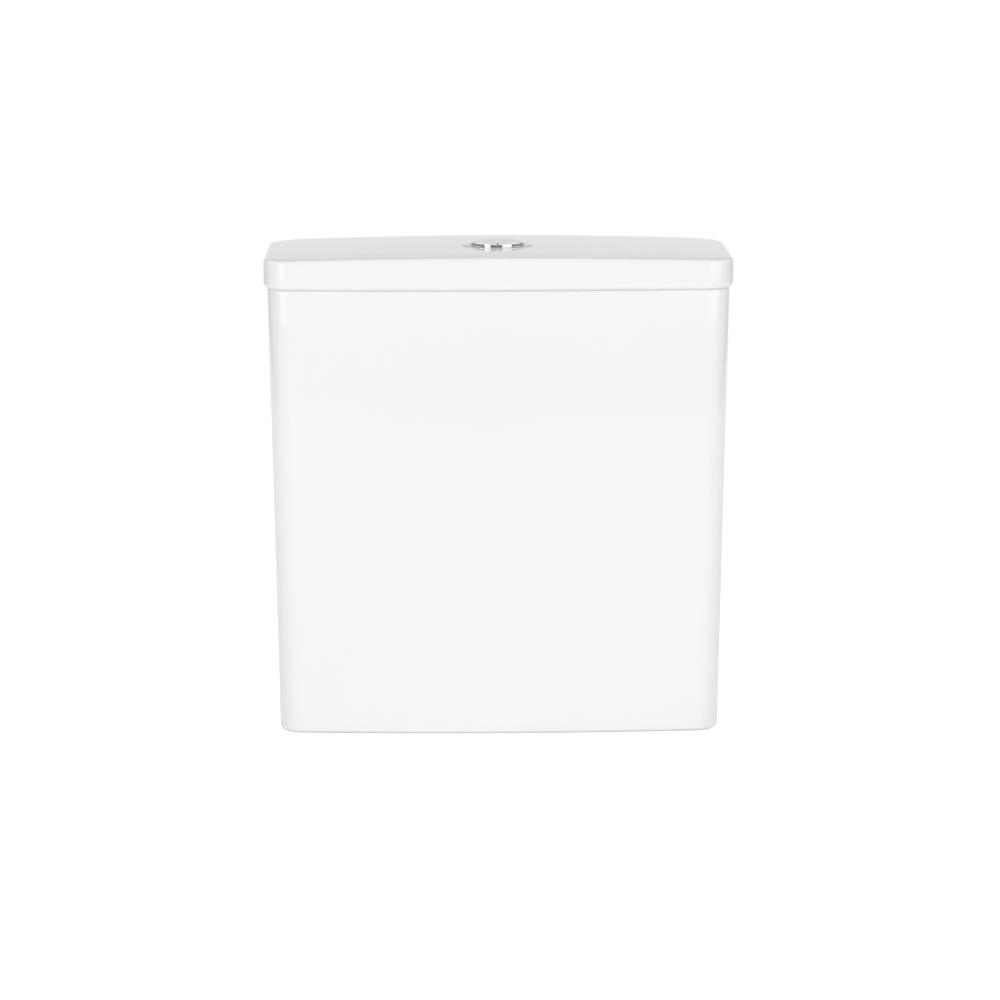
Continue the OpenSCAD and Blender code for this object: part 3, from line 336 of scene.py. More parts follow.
def eased(corners, steps=5):
    """A closed profile from (radius, level, easing) corners; easing is the radius that rounds the corner."""
    straight, share = math.radians(175), 0.49
    points = []
    for i, corner in enumerate(corners):
        here = Vector(corner[:2])
        before = Vector(corners[i - 1][:2]) - here
        after = Vector(corners[(i + 1) % len(corners)][:2]) - here
        ease = corner[2] if len(corner) > 2 else 0
        if ease <= 0 or before.angle(after) > straight:
            points.append(tuple(here))
            continue
        half = before.angle(after) / 2
        reach = min(ease / math.tan(half), before.length * share, after.length * share)
        radius = reach * math.tan(half)
        start = here + before.normalized() * reach
        end = here + after.normalized() * reach
        middle = here + (before.normalized() + after.normalized()).normalized() * (radius / math.sin(half))
        a0 = math.atan2(start.y - middle.y, start.x - middle.x)
        turn = math.atan2(end.y - middle.y, end.x - middle.x) - a0
        turn = (turn + math.pi) % (2 * math.pi) - math.pi
        for k in range(steps + 1):
            a = a0 + turn * k / steps
            points.append((middle.x + radius * math.cos(a), middle.y + radius * math.sin(a)))
    return points


def turned(corners, x=0.0, y=0.0, steps=96):
    """A closed profile of (radius, level, easing) corners spun about a vertical axis."""
    spokes = [2 * math.pi * i / steps for i in range(steps)]
    return skin([[(x + r * math.cos(a), y + r * math.sin(a), z) for a in spokes] for r, z in eased(corners)],
                loop=True)


def collar(bore, outer, low, high, eases, x=0.0, y=0.0, steps=96):
    """A turned ring of plain section, such as a washer; eases round its edges, from the lower bore on."""
    edges = ((bore, low), (outer, low), (outer, high), (bore, high))
    return turned([(*edge, ease) for edge, ease in zip(edges, eases)], x, y, steps)


def drill(x, y, r, low, high, steps=64):
    """A plain cylinder for cutting a round hole."""
    return turned([(0, low), (r, low), (r, high), (0, high)], x, y, steps)


def slab(x, y, wide, deep, low, high):
    """A plain box for cutting a slot."""
    corners = [(x - wide / 2, y - deep / 2), (x + wide / 2, y - deep / 2), (x + wide / 2, y + deep / 2),
               (x - wide / 2, y + deep / 2)]
    return skin([level_ring(corners, low), level_ring(corners, high)])


def pin(r, length, axis, at, ease=0.45):
    """A round pin with eased ends, along X or Y."""
    half = length / 2
    rod = turned([(0, -half), (r, -half, ease), (r, half, ease), (0, half)], steps=36)
    return moved(rod, *at, Matrix.Rotation(math.pi / 2, 4, "Y" if axis == "X" else "X"))


def pull_rod(corners, x, y, cross):
    """A turned rod with a cross pin near its top."""
    return cut(turned(corners, x, y, 40), cross, operation="UNION")


def hex_nut(x, low, high, flats, bore, steps=72):
    """A six-sided nut with its corners turned off above and below, and its bore eased."""
    face, corner, ease = flats * 0.49, flats * 0.535, 0.5
    shallow, deep = 0.45, 1.1

    def ring(limit, z):
        points = []
        for i in range(steps):
            a = 2 * math.pi * i / steps
            r = min(flats / 2 / math.cos(a % (math.pi / 3) - math.pi / 6), limit)
            points.append((x + r * math.cos(a), r * math.sin(a), z))
        return points

    return skin([ring(bore + ease, low), ring(face, low), ring(corner, low + shallow),
                 ring(flats, low + deep), ring(flats, high - deep), ring(corner, high - shallow),
                 ring(face, high), ring(bore + ease, high), ring(bore, high - ease), ring(bore, low + ease)],
                loop=True)


def softened(node, ease, segments=2, angle=28):
    """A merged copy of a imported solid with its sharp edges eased."""
    bm = bmesh.new()
    bm.from_mesh(frame["nodes"][node].data)
    bmesh.ops.remove_doubles(bm, verts=bm.verts, dist=5e-6)
    bmesh.ops.dissolve_limit(bm, angle_limit=math.radians(1), verts=bm.verts, edges=bm.edges)
    sharp = [e for e in bm.edges if len(e.link_faces) == 2 and e.calc_face_angle() > math.radians(angle)]
    bmesh.ops.bevel(bm, geom=sharp, offset=ease * MM, offset_type="OFFSET", segments=segments, profile=0.5,
                    affect="EDGES", clamp_overlap=True)
    mesh = bpy.data.meshes.new("softened")
    bm.to_mesh(mesh)
    bm.free()
    return tidied(mesh)


def span(node):
    """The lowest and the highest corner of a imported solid, in millimetres."""
    low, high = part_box(node)
    return low / MM, high / MM


def levels(node):
    """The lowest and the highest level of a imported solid, in millimetres."""
    low, high = span(node)
    return low.z, high.z


def finish_of(node):
    """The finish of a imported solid's material slot, made once."""
    name, make = FINISHES[SLOT_OF[node]]
    return bpy.data.materials.get(name) or make(name)


def piece(name, mesh, *nodes):
    """Puts a mesh in the scene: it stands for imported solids, rides on their body and takes their finish."""
    mesh.name = name
    mesh.materials.clear()
    mesh.materials.append(finish_of(nodes[0]))
    mesh.shade_smooth()
    mesh.set_sharp_from_angle(angle=math.radians(38))
    obj = bpy.data.objects.new(name, mesh)
    bpy.context.scene.collection.objects.link(obj)
    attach(obj, BODY_OF[nodes[0]])
    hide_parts(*nodes)
    return obj


# Node trees

def node_in(tree, kind, inputs=None, **values):
    """Adds a node; inputs gives each a socket to read or a constant, values set properties."""
    new = tree.nodes.new(kind)
    for name, value in values.items():
        setattr(new, name, value)
    for name, source in (inputs or {}).items():
        if isinstance(source, bpy.types.NodeSocket):
            tree.links.new(source, new.inputs[name])
        else:
            new.inputs[name].default_value = source
    return new


def out_of(tree, kind, inputs=None, out=0, **values):
    """Adds a node and gives one of its outputs."""
    return node_in(tree, kind, inputs, **values).outputs[out]


def maths(tree, operation, *sources):
    """One step of arithmetic on sockets and constants."""
    return out_of(tree, "ShaderNodeMath", dict(enumerate(sources)), operation=operation)


def ranged(tree, value, given=(0.3, 0.7), wanted=(0.0, 1.0), **kind):
    """A value mapped from a given range, by default where a noise mostly lies, to a wanted one."""
    return out_of(tree, "ShaderNodeMapRange", {"Value": value, "From Min": given[0], "From Max": given[1],
                                               "To Min": wanted[0], "To Max": wanted[1]}, **kind)


def tree_of(name, *inputs):
    """A geometry tree with named inputs, and the sockets that carry them."""
    tree = bpy.data.node_groups.new(name, "GeometryNodeTree")
    tree.interface.new_socket("Geometry", in_out="OUTPUT", socket_type="NodeSocketGeometry")
    for label, kind, value in inputs:
        socket = tree.interface.new_socket(label, in_out="INPUT", socket_type="NodeSocket" + kind)
        if value is not None:
            socket.default_value = value
    return tree, tree.nodes.new("NodeGroupInput").outputs


def finish_tree(tree, geometry, place, material):
    """Ends a tree: moves its geometry to a place, makes it real and puts its material on it."""
    put = out_of(tree, "GeometryNodeTransform", {"Geometry": geometry, "Translation": place})
    real = out_of(tree, "GeometryNodeRealizeInstances", {"Geometry": put})
    dressed = out_of(tree, "GeometryNodeSetMaterial", {"Geometry": real, "Material": material})
    tree.links.new(dressed, tree.nodes.new("NodeGroupOutput").inputs[0])
    return tree


def winding_tree(name):
    """A round or angled wire wound up a cylinder, for springs and threads."""
    tree, given = tree_of(name, ("Radius", "Float", 0.006), ("Wire", "Float", 0.0005),
                          ("Height", "Float", 0.03), ("Turns", "Float", 7.0), ("Level", "Float", 0.0),
                          ("Across", "Float", 0.0), ("Sides", "Int", 8), ("Steps", "Int", 32),
                          ("Material", "Material", None))
    add = partial(out_of, tree)
    spiral = add("GeometryNodeCurveSpiral", {
        "Resolution": given["Steps"], "Rotations": given["Turns"], "Start Radius": given["Radius"],
        "End Radius": given["Radius"], "Height": given["Height"]})
    upright = add("GeometryNodeSetCurveNormal", {"Curve": spiral}, mode="Z_UP")
    wire = add("GeometryNodeCurvePrimitiveCircle", {"Resolution": given["Sides"], "Radius": given["Wire"]})
    tube = add("GeometryNodeCurveToMesh", {"Curve": upright, "Profile Curve": wire, "Fill Caps": True})
    place = add("ShaderNodeCombineXYZ", {"X": given["Across"], "Z": given["Level"]})
    return finish_tree(tree, tube, place, given["Material"])


def grip_tree(name):
    """Rounded lugs or ribs standing round a cylinder, for nuts, caps and knurls."""
    tree, given = tree_of(name, ("Count", "Int", 8), ("Radius", "Float", 0.04), ("Reach", "Float", 0.004),
                          ("Width", "Float", 0.008), ("Height", "Float", 0.013), ("Level", "Float", 0.0),
                          ("Across", "Float", 0.0), ("Ahead", "Float", 0.0), ("Easing", "Float", 0.001),
                          ("Material", "Material", None))
    add = partial(out_of, tree)
    outline = add("GeometryNodeCurvePrimitiveQuadrilateral", {
        "Width": given["Reach"], "Height": given["Width"]})
    soft = add("GeometryNodeFilletCurve", {
        "Curve": outline, "Count": 4, "Radius": given["Easing"]}, mode="POLY")
    floor = add("GeometryNodeFillCurve", {"Curve": soft}, mode="NGONS")
    raised = add("GeometryNodeExtrudeMesh", {
        "Mesh": floor, "Offset Scale": given["Height"], "Individual": False})
    under = add("GeometryNodeFlipFaces", {"Mesh": floor})
    both = node_in(tree, "GeometryNodeJoinGeometry")
    for half in (under, raised):
        tree.links.new(half, both.inputs[0])
    lug = add("GeometryNodeMergeByDistance", {"Geometry": both.outputs[0], "Distance": 1e-6})
    spots = add("GeometryNodeMeshCircle", {"Vertices": given["Count"], "Radius": given["Radius"]})
    half_step = add("ShaderNodeCombineXYZ", {"Z": maths(tree, "DIVIDE", math.pi, given["Count"])})
    shifted = add("GeometryNodeTransform", {"Geometry": spots, "Rotation": half_step})
    x, y, _ = node_in(tree, "ShaderNodeSeparateXYZ", {0: add("GeometryNodeInputPosition")}).outputs
    facing = add("ShaderNodeCombineXYZ", {"Z": maths(tree, "ARCTAN2", y, x)})
    ring = add("GeometryNodeInstanceOnPoints", {"Points": shifted, "Instance": lug, "Rotation": facing})
    place = add("ShaderNodeCombineXYZ", {"X": given["Across"], "Y": given["Ahead"], "Z": given["Level"]})
    return finish_tree(tree, ring, place, given["Material"])


def grown(name, make, material, **values):
    """A plain mesh from a tree; lengths come in millimetres, counts and turns as they are."""
    tree = bpy.data.node_groups.get(name) or make(name)
    obj = loose(bpy.data.meshes.new("grown"))
    modifier = obj.modifiers.new("grown", "NODES")
    modifier.node_group = tree
    for socket in tree.interface.items_tree:
        if socket.in_out != "INPUT":
            continue
        if socket.name == "Material":
            modifier[socket.identifier] = material
        elif socket.name.lower() in values:
            value = values[socket.name.lower()]
            whole = socket.socket_type == "NodeSocketInt" or socket.name == "Turns"
            modifier[socket.identifier] = value if whole else value * MM
    mesh = applied(obj)
    mesh.materials.clear()
    return mesh


def winding(node, **values):
    """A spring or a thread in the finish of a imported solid."""
    return grown("cistern_winding", winding_tree, finish_of(node), **values)


def grips(node, radius, reach, sunk=1.0, **values):
    """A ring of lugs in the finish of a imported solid, sunk into the cylinder that they stand on."""
    return grown("cistern_grips", grip_tree, finish_of(node), radius=radius + (reach - sunk) / 2,
                 reach=reach + sunk, **values)


def lugged(name, mesh, node, **values):
    """A piece with a ring of lugs, ribs or knurls round its mesh."""
    piece(name, joined(mesh, grips(node, **values)), node)


# Finishes

def bare_finish(name, **sockets):
    """A new material with constants on its shader's own sockets; the patterns come after."""
    material = bpy.data.materials.new(name)
    material.use_nodes = True
    shader = material.node_tree.nodes["Principled BSDF"]
    for label, value in sockets.items():
        shader.inputs[label.replace("_", " ")].default_value = value
    return material, material.node_tree, shader


def patterned(tree, shader, colour, rough, normal):
    """Wires the patterns to the shader."""
    for label, source in (("Base Color", colour), ("Roughness", rough), ("Normal", normal)):
        tree.links.new(source, shader.inputs[label])


def place_nodes(tree, stretch=(1, 1, 1)):
    """Object coordinates, stretched."""
    where = out_of(tree, "ShaderNodeTexCoord", out="Object")
    return out_of(tree, "ShaderNodeMapping", {"Vector": where, "Scale": stretch})


def grain(tree, place, scale, detail=2.0, rough=0.5):
    """A noise from 0 to 1."""
    return out_of(tree, "ShaderNodeTexNoise", {"Vector": place, "Scale": scale, "Detail": detail,
                                               "Roughness": rough}, out="Fac")


def blend_colours(tree, factor, one, two):
    """A mix of two colours by a factor; each is a constant or a socket."""
    mix = node_in(tree, "ShaderNodeMix", {0: factor}, data_type="RGBA")
    for socket, value in ((mix.inputs[6], one), (mix.inputs[7], two)):
        if isinstance(value, bpy.types.NodeSocket):
            tree.links.new(value, socket)
        else:
            socket.default_value = (*value, 1.0)
    return mix.outputs[2]


def dent(tree, height, distance, onto=None):
    """A bump from a height, on top of another bump where there is one."""
    below = {} if onto is None else {"Normal": onto}
    return out_of(tree, "ShaderNodeBump", {"Height": height, "Distance": distance, "Strength": 1.0, **below})


def shade(colour, k):
    """A colour made darker or lighter."""
    return tuple(min(1.0, c * k) for c in colour)


def colour_of(name):
    """A colour from the settings."""
    return tuple(getattr(settings().colours, name))


def china_finish(name):
    """White glaze: long waves left by casting and firing, fine orange peel, and a bare foot."""
    glaze, biscuit = colour_of("glaze"), colour_of("biscuit")
    material, tree, shader = bare_finish(name, IOR=1.54)
    place = place_nodes(tree)
    glazed = blend_colours(tree, ranged(tree, grain(tree, place, 5.0)), shade(glaze, 0.988), glaze)
    clay = blend_colours(tree, ranged(tree, grain(tree, place, 420.0, 3.0)), shade(biscuit, 0.93), biscuit)
    level = out_of(tree, "ShaderNodeSeparateXYZ", {0: place}, out=2)
    ragged = maths(tree, "MULTIPLY_ADD", grain(tree, place, 90.0), 0.0009, level)
    bare = ranged(tree, ragged, (0.0016, 0.0010))
    gloss = ranged(tree, grain(tree, place, 34.0), wanted=(0.045, 0.075))
    waves = dent(tree, grain(tree, place, 9.0, 1.0), 0.0006)
    peel = dent(tree, grain(tree, place, 300.0, 1.0), 0.000012, onto=waves)
    rough = ranged(tree, bare, (0, 1), (gloss, 0.75))
    patterned(tree, shader, blend_colours(tree, bare, glazed, clay), rough, peel)
    return material


def metal_finish(name, colour, gloss, marks, depth, dull):
    """Polished, turned or drawn metal with fine marks along its length and a slightly uneven tone."""
    material, tree, shader = bare_finish(name, Metallic=1.0, Specular_Tint=(0.8, 0.8, 0.8, 1.0))
    colour = colour_of(colour)
    place = place_nodes(tree)
    tone = blend_colours(tree, ranged(tree, grain(tree, place, 60.0, 3.0)), shade(colour, dull), colour)
    rough = ranged(tree, grain(tree, place, 240.0), wanted=gloss)
    patterned(tree, shader, tone, rough, dent(tree, grain(tree, place_nodes(tree, marks), 1.0), depth))
    return material


def moulded_finish(name, colour, gloss=(0.28, 0.42), depth=0.00002, clouding=0.94):
    """Moulded plastic: faint flow clouding, a fine spark-eroded grain and a soft gloss."""
    material, tree, shader = bare_finish(name, IOR=1.49)
    colour = colour_of(colour)
    place = place_nodes(tree)
    flow = ranged(tree, grain(tree, place_nodes(tree, (1, 1, 0.35)), 38.0, 3.0))
    rough = ranged(tree, grain(tree, place, 120.0), wanted=gloss)
    fine = dent(tree, grain(tree, place, 2400.0, 1.0), depth)
    sink = dent(tree, grain(tree, place, 70.0, 1.0), 0.00006, onto=fine)
    patterned(tree, shader, blend_colours(tree, flow, shade(colour, clouding), colour), rough, sink)
    return material


def rubber_finish(name, colour, bloom):
    """Moulded rubber: matt, finely pitted, with a dusty bloom in patches."""
    material, tree, shader = bare_finish(name, IOR=1.5)
    place = place_nodes(tree)
    dust = ranged(tree, grain(tree, place, 55.0, 4.0, 0.6), (0.45, 0.75))
    rough = ranged(tree, grain(tree, place, 160.0), wanted=(0.55, 0.8))
    pits = dent(tree, grain(tree, place, 1800.0), 0.00006)
    patterned(tree, shader, blend_colours(tree, dust, colour_of(colour), bloom), rough, pits)
    return material


FINISHES = {
    "china": ("glazed_china", china_finish),
    "chrome": ("bright_chrome", partial(
        metal_finish, colour="chrome", gloss=(0.035, 0.06), marks=(90, 90, 90), depth=0.000004, dull=0.97)),
    "brass": ("turned_brass", partial(
        metal_finish, colour="brass", gloss=(0.18, 0.34), marks=(60, 60, 2600), depth=0.00002, dull=0.84)),
    "steel": ("drawn_steel", partial(
        metal_finish, colour="steel", gloss=(0.2, 0.34), marks=(700, 700, 60), depth=0.000015, dull=0.86)),
    "white_plastic": ("moulded_white_plastic", partial(moulded_finish, colour="white_plastic")),
    "grey_plastic": ("moulded_grey_plastic", partial(
        moulded_finish, colour="grey_plastic", gloss=(0.34, 0.5), depth=0.00004, clouding=0.88)),
    "blue_plastic": ("moulded_blue_plastic", partial(
        moulded_finish, colour="blue_plastic", gloss=(0.24, 0.36), clouding=0.86)),
    "black_rubber": ("moulded_black_rubber", partial(
        rubber_finish, colour="black_rubber", bloom=(0.034, 0.034, 0.033))),
    "red_rubber": ("moulded_red_rubber", partial(
        rubber_finish, colour="red_rubber", bloom=(0.37, 0.055, 0.036))),
}


# China

def plan(w, front, back, front_r, back_r, bow, inset=0.0):
    """Plan of the china at one level, drawn in by inset: a bowed front, straight sides and a flat back."""
    half = w / 2
    bow_r = (half * half + bow * bow) / (2 * bow)
    bow_y = front + bow_r
    front_x = half - front_r
    front_cy = bow_y - math.sqrt((bow_r - front_r) ** 2 - front_x ** 2)
    bow_a = math.atan2(front_x, bow_y - front_cy)
    back_x = half - back_r
    back_cy = back - back_r
    right = math.pi / 2

    def arc(cx, cy, r, a0, a1, n):
        steps = [a0 + (a1 - a0) * i / n for i in range(n + 1)]
        return [(cx + r * math.sin(a), cy - r * math.cos(a)) for a in steps]

    def line(x0, y0, x1, y1, n):
        return [(x0 + (x1 - x0) * i / n, y0 + (y1 - y0) * i / n) for i in range(1, n)]

    side = half - inset
    return (arc(0, bow_y, bow_r - inset, -bow_a, bow_a, 40)
            + arc(front_x, front_cy, front_r - inset, bow_a, right, 14)[1:]
            + line(side, front_cy, side, back_cy, 12)
            + arc(back_x, back_cy, back_r - inset, right, 2 * right, 12)
            + line(back_x, back - inset, -back_x, back - inset, 40)
            + arc(-back_x, back_cy, back_r - inset, 2 * right, 3 * right, 12)
            + line(-side, back_cy, -side, front_cy, 12)
            + arc(-front_x, front_cy, front_r - inset, 3 * right, 4 * right - bow_a, 14)[:-1])


def quarter(n):
    """Sine and cosine pairs through a quarter turn."""
    return [(math.sin(math.pi / 2 * i / n), math.cos(math.pi / 2 * i / n)) for i in range(n + 1)]


def level_ring(points, z):
    """Plan points at one level."""
    return [(x, y, z) for x, y in points]


def tank_mesh(c):
    """The tank as one skin: up the recess under the base, over the foot, up the outside, over the rim and
    down inside. Its holes are cut after."""
    def ring(z, off, front_r, back_r, inset=0.0):
        w = c.foot_w + (c.rim_w - c.foot_w) * z / c.rim_z - 2 * off
        front = c.lean * (1 - z / c.rim_z) - c.front_y + off
        return level_ring(plan(w, front, c.back_y - off, front_r, back_r, c.bow, inset), z)

    skirt_back_r, inner_back_r = c.back_r - c.skirt_wall, c.back_r - c.wall
    bands = 12
    rings = []
    for s, k in reversed(quarter(5)):
        rings.append(ring(c.base_z - c.skirt_fillet * (1 - s), c.skirt_wall, c.skirt_r, skirt_back_r,
                          c.skirt_fillet * (1 - k)))
    for s, k in quarter(4):
        ease = c.foot_r * (1 - k)
        rings.append(ring(c.foot_r * (1 - s), c.skirt_wall - ease, c.skirt_r + ease, skirt_back_r + ease))
    for s, k in quarter(6):
        rings.append(ring(c.foot_r * (1 - k), 0, c.front_r, c.back_r, c.foot_r * (1 - s)))
    for i in range(1, bands):
        rings.append(ring(c.foot_r + (c.rim_z - c.foot_r - c.rim_r) * i / bands, 0, c.front_r, c.back_r))
    for s, k in quarter(5):
        rings.append(ring(c.rim_z - c.rim_r * (1 - s), 0, c.front_r, c.back_r, c.rim_r * (1 - k)))
    for s, k in reversed(quarter(5)):
        ease = c.rim_r * (1 - k)
        rings.append(ring(c.rim_z - c.rim_r * (1 - s), c.wall - ease, c.inner_r + ease, inner_back_r + ease))
    for s, k in quarter(8):
        rings.append(ring(c.floor_z + c.floor_r * (1 - s), c.wall, c.inner_r, inner_back_r,
                          c.floor_r * (1 - k)))
    low, high = c.base_z - 1, c.floor_z + 1
    v = lengths("valves")
    holes = [drill(0, 0, c.outlet_hole / 2, low, high, 96), drill(-v.inlet_x, 0, c.inlet_hole / 2, low, high)]
    holes += [drill(s * v.bolt_x, 0, c.bolt_hole / 2, low, high) for s in (-1, 1)]
    through, flat = c.wall + 6, Matrix.Rotation(math.pi / 2, 4, "X")
    holes += [moved(drill(0, 0, c.wall_hole / 2, -through, through), s * c.wall_hole_x, c.back_y - c.wall / 2,
                    c.rim_z - c.wall_hole_drop, flat) for s in (-1, 1)]
    return cut(skin(rings), *holes)


def lid_mesh(c):
    """The lid as one closed skin: up the button hole, over the crowned top, down the edge, under the rim and
    back along the hollow ceiling. The lugs are joined to it after."""
    lid_w, lid_front = c.rim_w + 2 * c.lid_over, -c.front_y - c.lid_over
    half_d = -lid_front
    edge_z = c.rim_z + c.lid_h
    ceiling = edge_z - c.lid_roof

    def on_top(x, y, drop=0.0):
        rise = c.crown * (1 - (2 * x / lid_w) ** 2) + c.crown_d * (1 - (y / half_d) ** 2)
        return x, y, edge_z - drop + rise

    def outer(inset):
        return plan(lid_w, lid_front, c.back_y, c.lid_corner_r, c.back_r + c.lid_over, c.bow, inset)

    def hollow(z, inset):
        w = lid_w - 2 * c.lid_rim
        return level_ring(plan(w, lid_front + c.lid_rim, c.back_y - c.lid_rim + c.lid_over, c.lid_inner_r,
                               c.lid_inner_r, c.bow, inset), z)

    rim = outer(c.lid_top_r)
    spokes = [math.atan2(y, x) for x, y in rim]

    def circle(r):
        return [(r * math.cos(a), r * math.sin(a)) for a in spokes]

    def between(one, two, t):
        return [(x0 + (x1 - x0) * t, y0 + (y1 - y0) * t) for (x0, y0), (x1, y1) in zip(one, two)]

    hole_r, seat_r = c.button_hole / 2, c.seat_d / 2
    lip = circle(seat_r + c.seat_lip)
    rings = [level_ring(circle(hole_r), ceiling), level_ring(circle(hole_r), c.seat_z - c.hole_ease),
             level_ring(circle(hole_r + c.hole_ease), c.seat_z), level_ring(circle(seat_r), c.seat_z)]
    bands, crowding = 15, 0.85
    for i in range(bands):
        rings.append([on_top(x, y) for x, y in between(lip, rim, (i / bands) ** crowding)])
    for s, k in reversed(quarter(8)):
        rings.append([on_top(x, y, c.lid_top_r * (1 - s)) for x, y in outer(c.lid_top_r * (1 - k))])
    low = c.rim_z + c.lid_foot_r
    for share in (1 / 3, 2 / 3):
        edge = [on_top(x, y, c.lid_top_r) for x, y in outer(0)]
        rings.append([(x, y, z + (low - z) * share) for x, y, z in edge])
    for s, k in quarter(8):
        rings.append(level_ring(outer(c.lid_foot_r * (1 - k)), low - c.lid_foot_r * s))
    rings.append(hollow(c.rim_z, -c.lid_chamfer))
    rings.append(hollow(c.rim_z + c.lid_chamfer, 0))
    for s, k in quarter(5):
        rings.append(hollow(ceiling - c.lid_fillet * (1 - s), c.lid_fillet * (1 - k)))
    inner = [point[:2] for point in rings[-1]]
    for i in range(1, 5):
        rings.append(level_ring(between(inner, circle(hole_r), i / 5), ceiling))
    bow_at_lug = c.bow * ((c.lug_x + c.lug_l / 2) * 2 / c.rim_w) ** 2
    inset = c.wall + c.lug_gap + c.lug_w / 2
    lugs = [lug_mesh(c, s * c.lug_x, y, c.rim_z - c.lug_drop, ceiling + 2)
            for s in (-1, 1) for y in (-c.front_y + bow_at_lug + inset, c.back_y - inset)]
    return cut(skin(rings, loop=True), *lugs, operation="UNION")


def lug_mesh(c, x, y, low, high, n=10):
    """A cast locating bar with round ends and a round lower edge."""
    r = c.lug_w / 2
    reach = c.lug_l / 2 - r
    rings = []
    for inset, z in ((1.6, low), (0.55, low + 0.5), (0.0, low + 1.8), (0.0, high)):
        ring = []
        for s in (1, -1):
            for i in range(n + 1):
                a = math.pi * i / n - s * math.pi / 2
                ring.append((x + s * reach + (r - inset) * math.cos(a), y + (r - inset) * math.sin(a), z))
        rings.append(ring)
    return skin(rings)


# Operators

class CISTERN_OT_tank(bpy.types.Operator):
    """Glazed china tank with its bowed front, foot recess and holes"""

    bl_idname = "cistern.tank"
    bl_label = "Tank"

    def execute(self, context):
        piece("china_tank", tank_mesh(lengths("china")), "tank")
        return {"FINISHED"}


class CISTERN_OT_lid(bpy.types.Operator):
    """Glazed china lid with its crowned top and locating lugs"""

    bl_idname = "cistern.lid"
    bl_label = "Lid"

    def execute(self, context):
        piece("china_lid", lid_mesh(lengths("china")), "lid")
        return {"FINISHED"}


class CISTERN_OT_bezel(bpy.types.Operator):
    """Chrome bezel with its threaded barrel, and the gasket and nut that hold it under the lid"""

    bl_idname = "cistern.bezel"
    bl_label = "Bezel"

    def execute(self, context):
        b, seat = lengths("button"), lengths("china").seat_z
        low, lip = seat - b.barrel_h, seat + b.bezel_h
        floor = low + b.barrel_floor
        bore, outer, barrel = b.bore_d / 2, b.bezel_d / 2, b.barrel_d / 2
        body = turned([
            (bore, floor, 0.3), (bore, lip - b.lip_drop, 0.3), (b.lip_d / 2, lip, 0.5),
            (outer, seat + b.bezel_edge, 0.3), (outer, seat, 0.15), (barrel, seat), (barrel, low, 0.6),
            (0, low), (0, floor)], steps=128)
        guides = [drill(s * b.rod_x, 0, b.guide_d / 2, low - 1, floor + 1, 40) for s in (-1, 1)]
        thread = winding("button_bezel", radius=barrel - 0.2, wire=0.5, height=30, turns=15, level=low + 2,
                         sides=4, steps=64)
        piece("chrome_bezel", joined(cut(body, *guides), thread), "button_bezel")
        clear = barrel + 0.1
        gasket = collar(clear, 33, *levels("bezel_gasket"), (0.2, 0.5, 0.5, 0.2))
        piece("barrel_gasket", gasket, "bezel_gasket")
        nut_r, (low, high) = 31, levels("bezel_nut")
        nut = collar(clear, nut_r, low, high, (0.4, 0.8, 0.4, 0.2))
        lugged("barrel_nut", nut, "bezel_nut", count=12, radius=nut_r, reach=2, width=5, height=10.4,
               level=low + 0.3, easing=1.2)
        return {"FINISHED"}


def half_round(side, r, inner, n=40, flat_n=16):
    """Outline of one button: a half disc of radius r whose flat side lies inner from the middle."""
    a0 = math.acos(inner / r)
    y = r * math.sin(a0)
    bend = [-a0 + 2 * a0 * i / n for i in range(n + 1)]
    return ([(side * r * math.cos(a), r * math.sin(a)) for a in bend]
            + [(side * inner, y - 2 * y * i / flat_n) for i in range(1, flat_n)])


def cap_mesh(b, side):
    """The cap of one button: from its hollow underside, round the skirt and over the crown."""
    def outline(inset):
        return half_round(side, b.button_r - inset, b.split / 2 + inset)

    def flat(inset, z):
        return level_ring(outline(inset), z)

    def crowned(inset, drop):
        base = b.top_z - b.crown_r
        return [(x, y, base + math.sqrt(b.crown_r ** 2 - (x - side * b.rod_x) ** 2) - drop)
                for x, y in outline(inset)]

    low, under, middle = b.top_z - b.cap_h, b.top_z - b.cap_roof, 9.0
    ease, fillet = 0.3, 0.4
    rings = [flat(6, under), flat(b.cap_wall + ease, under), flat(b.cap_wall, under - fillet),
             flat(b.cap_wall, low), flat(0.2, low), flat(0.0, low + ease), flat(0.0, b.top_z - 3)]
    rings += [crowned(b.edge_r * (1 - k), b.edge_r * (1 - s)) for s, k in quarter(6)]
    rings += [crowned(b.edge_r + (middle - b.edge_r) * i / 8, 0) for i in range(1, 9)]
    return skin(rings)


class CISTERN_OT_buttons(bpy.types.Operator):
    """The two crowned chrome buttons on their plungers"""

    bl_idname = "cistern.buttons"
    bl_label = "Buttons"

    def execute(self, context):
        b = lengths("button")
        low, high = b.plunger_z, b.top_z - b.cap_roof + 1
        outer, socket, roof = b.plunger_d / 2, b.socket_d / 2, low + b.socket_h
        for side, word in SIDES:
            plunger = turned([(socket, low, 0.2), (outer, low, 0.5), (outer, high), (0, high), (0, roof),
                              (socket, roof)], side * b.rod_x, 0, 48)
            button = cut(cap_mesh(b, side), plunger, operation="UNION")
            piece(word + "_button_cap", button, word + "_flush_button")
        return {"FINISHED"}


class CISTERN_OT_springs(bpy.types.Operator):
    """Wound steel springs that lift the buttons"""

    bl_idname = "cistern.springs"
    bl_label = "Button springs"

    def execute(self, context):
        b = lengths("button")
        travel, wire = 8, 0.55
        for side, word in SIDES:
            node = word + "_button_spring"
            low, high = levels(node)
            x = side * b.rod_x
            shape = dict(radius=6, wire=wire, across=x, sides=10, steps=40)
            coil = joined(winding(node, height=high - low - 8 * wire, turns=6, level=low + 4 * wire, **shape),
                          winding(node, height=2 * wire, turns=1, level=low + wire, **shape),
                          winding(node, height=2 * wire, turns=1, level=high - 3 * wire, **shape))
            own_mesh(piece(word + "_coil", coil, node))
        return {"FINISHED"}


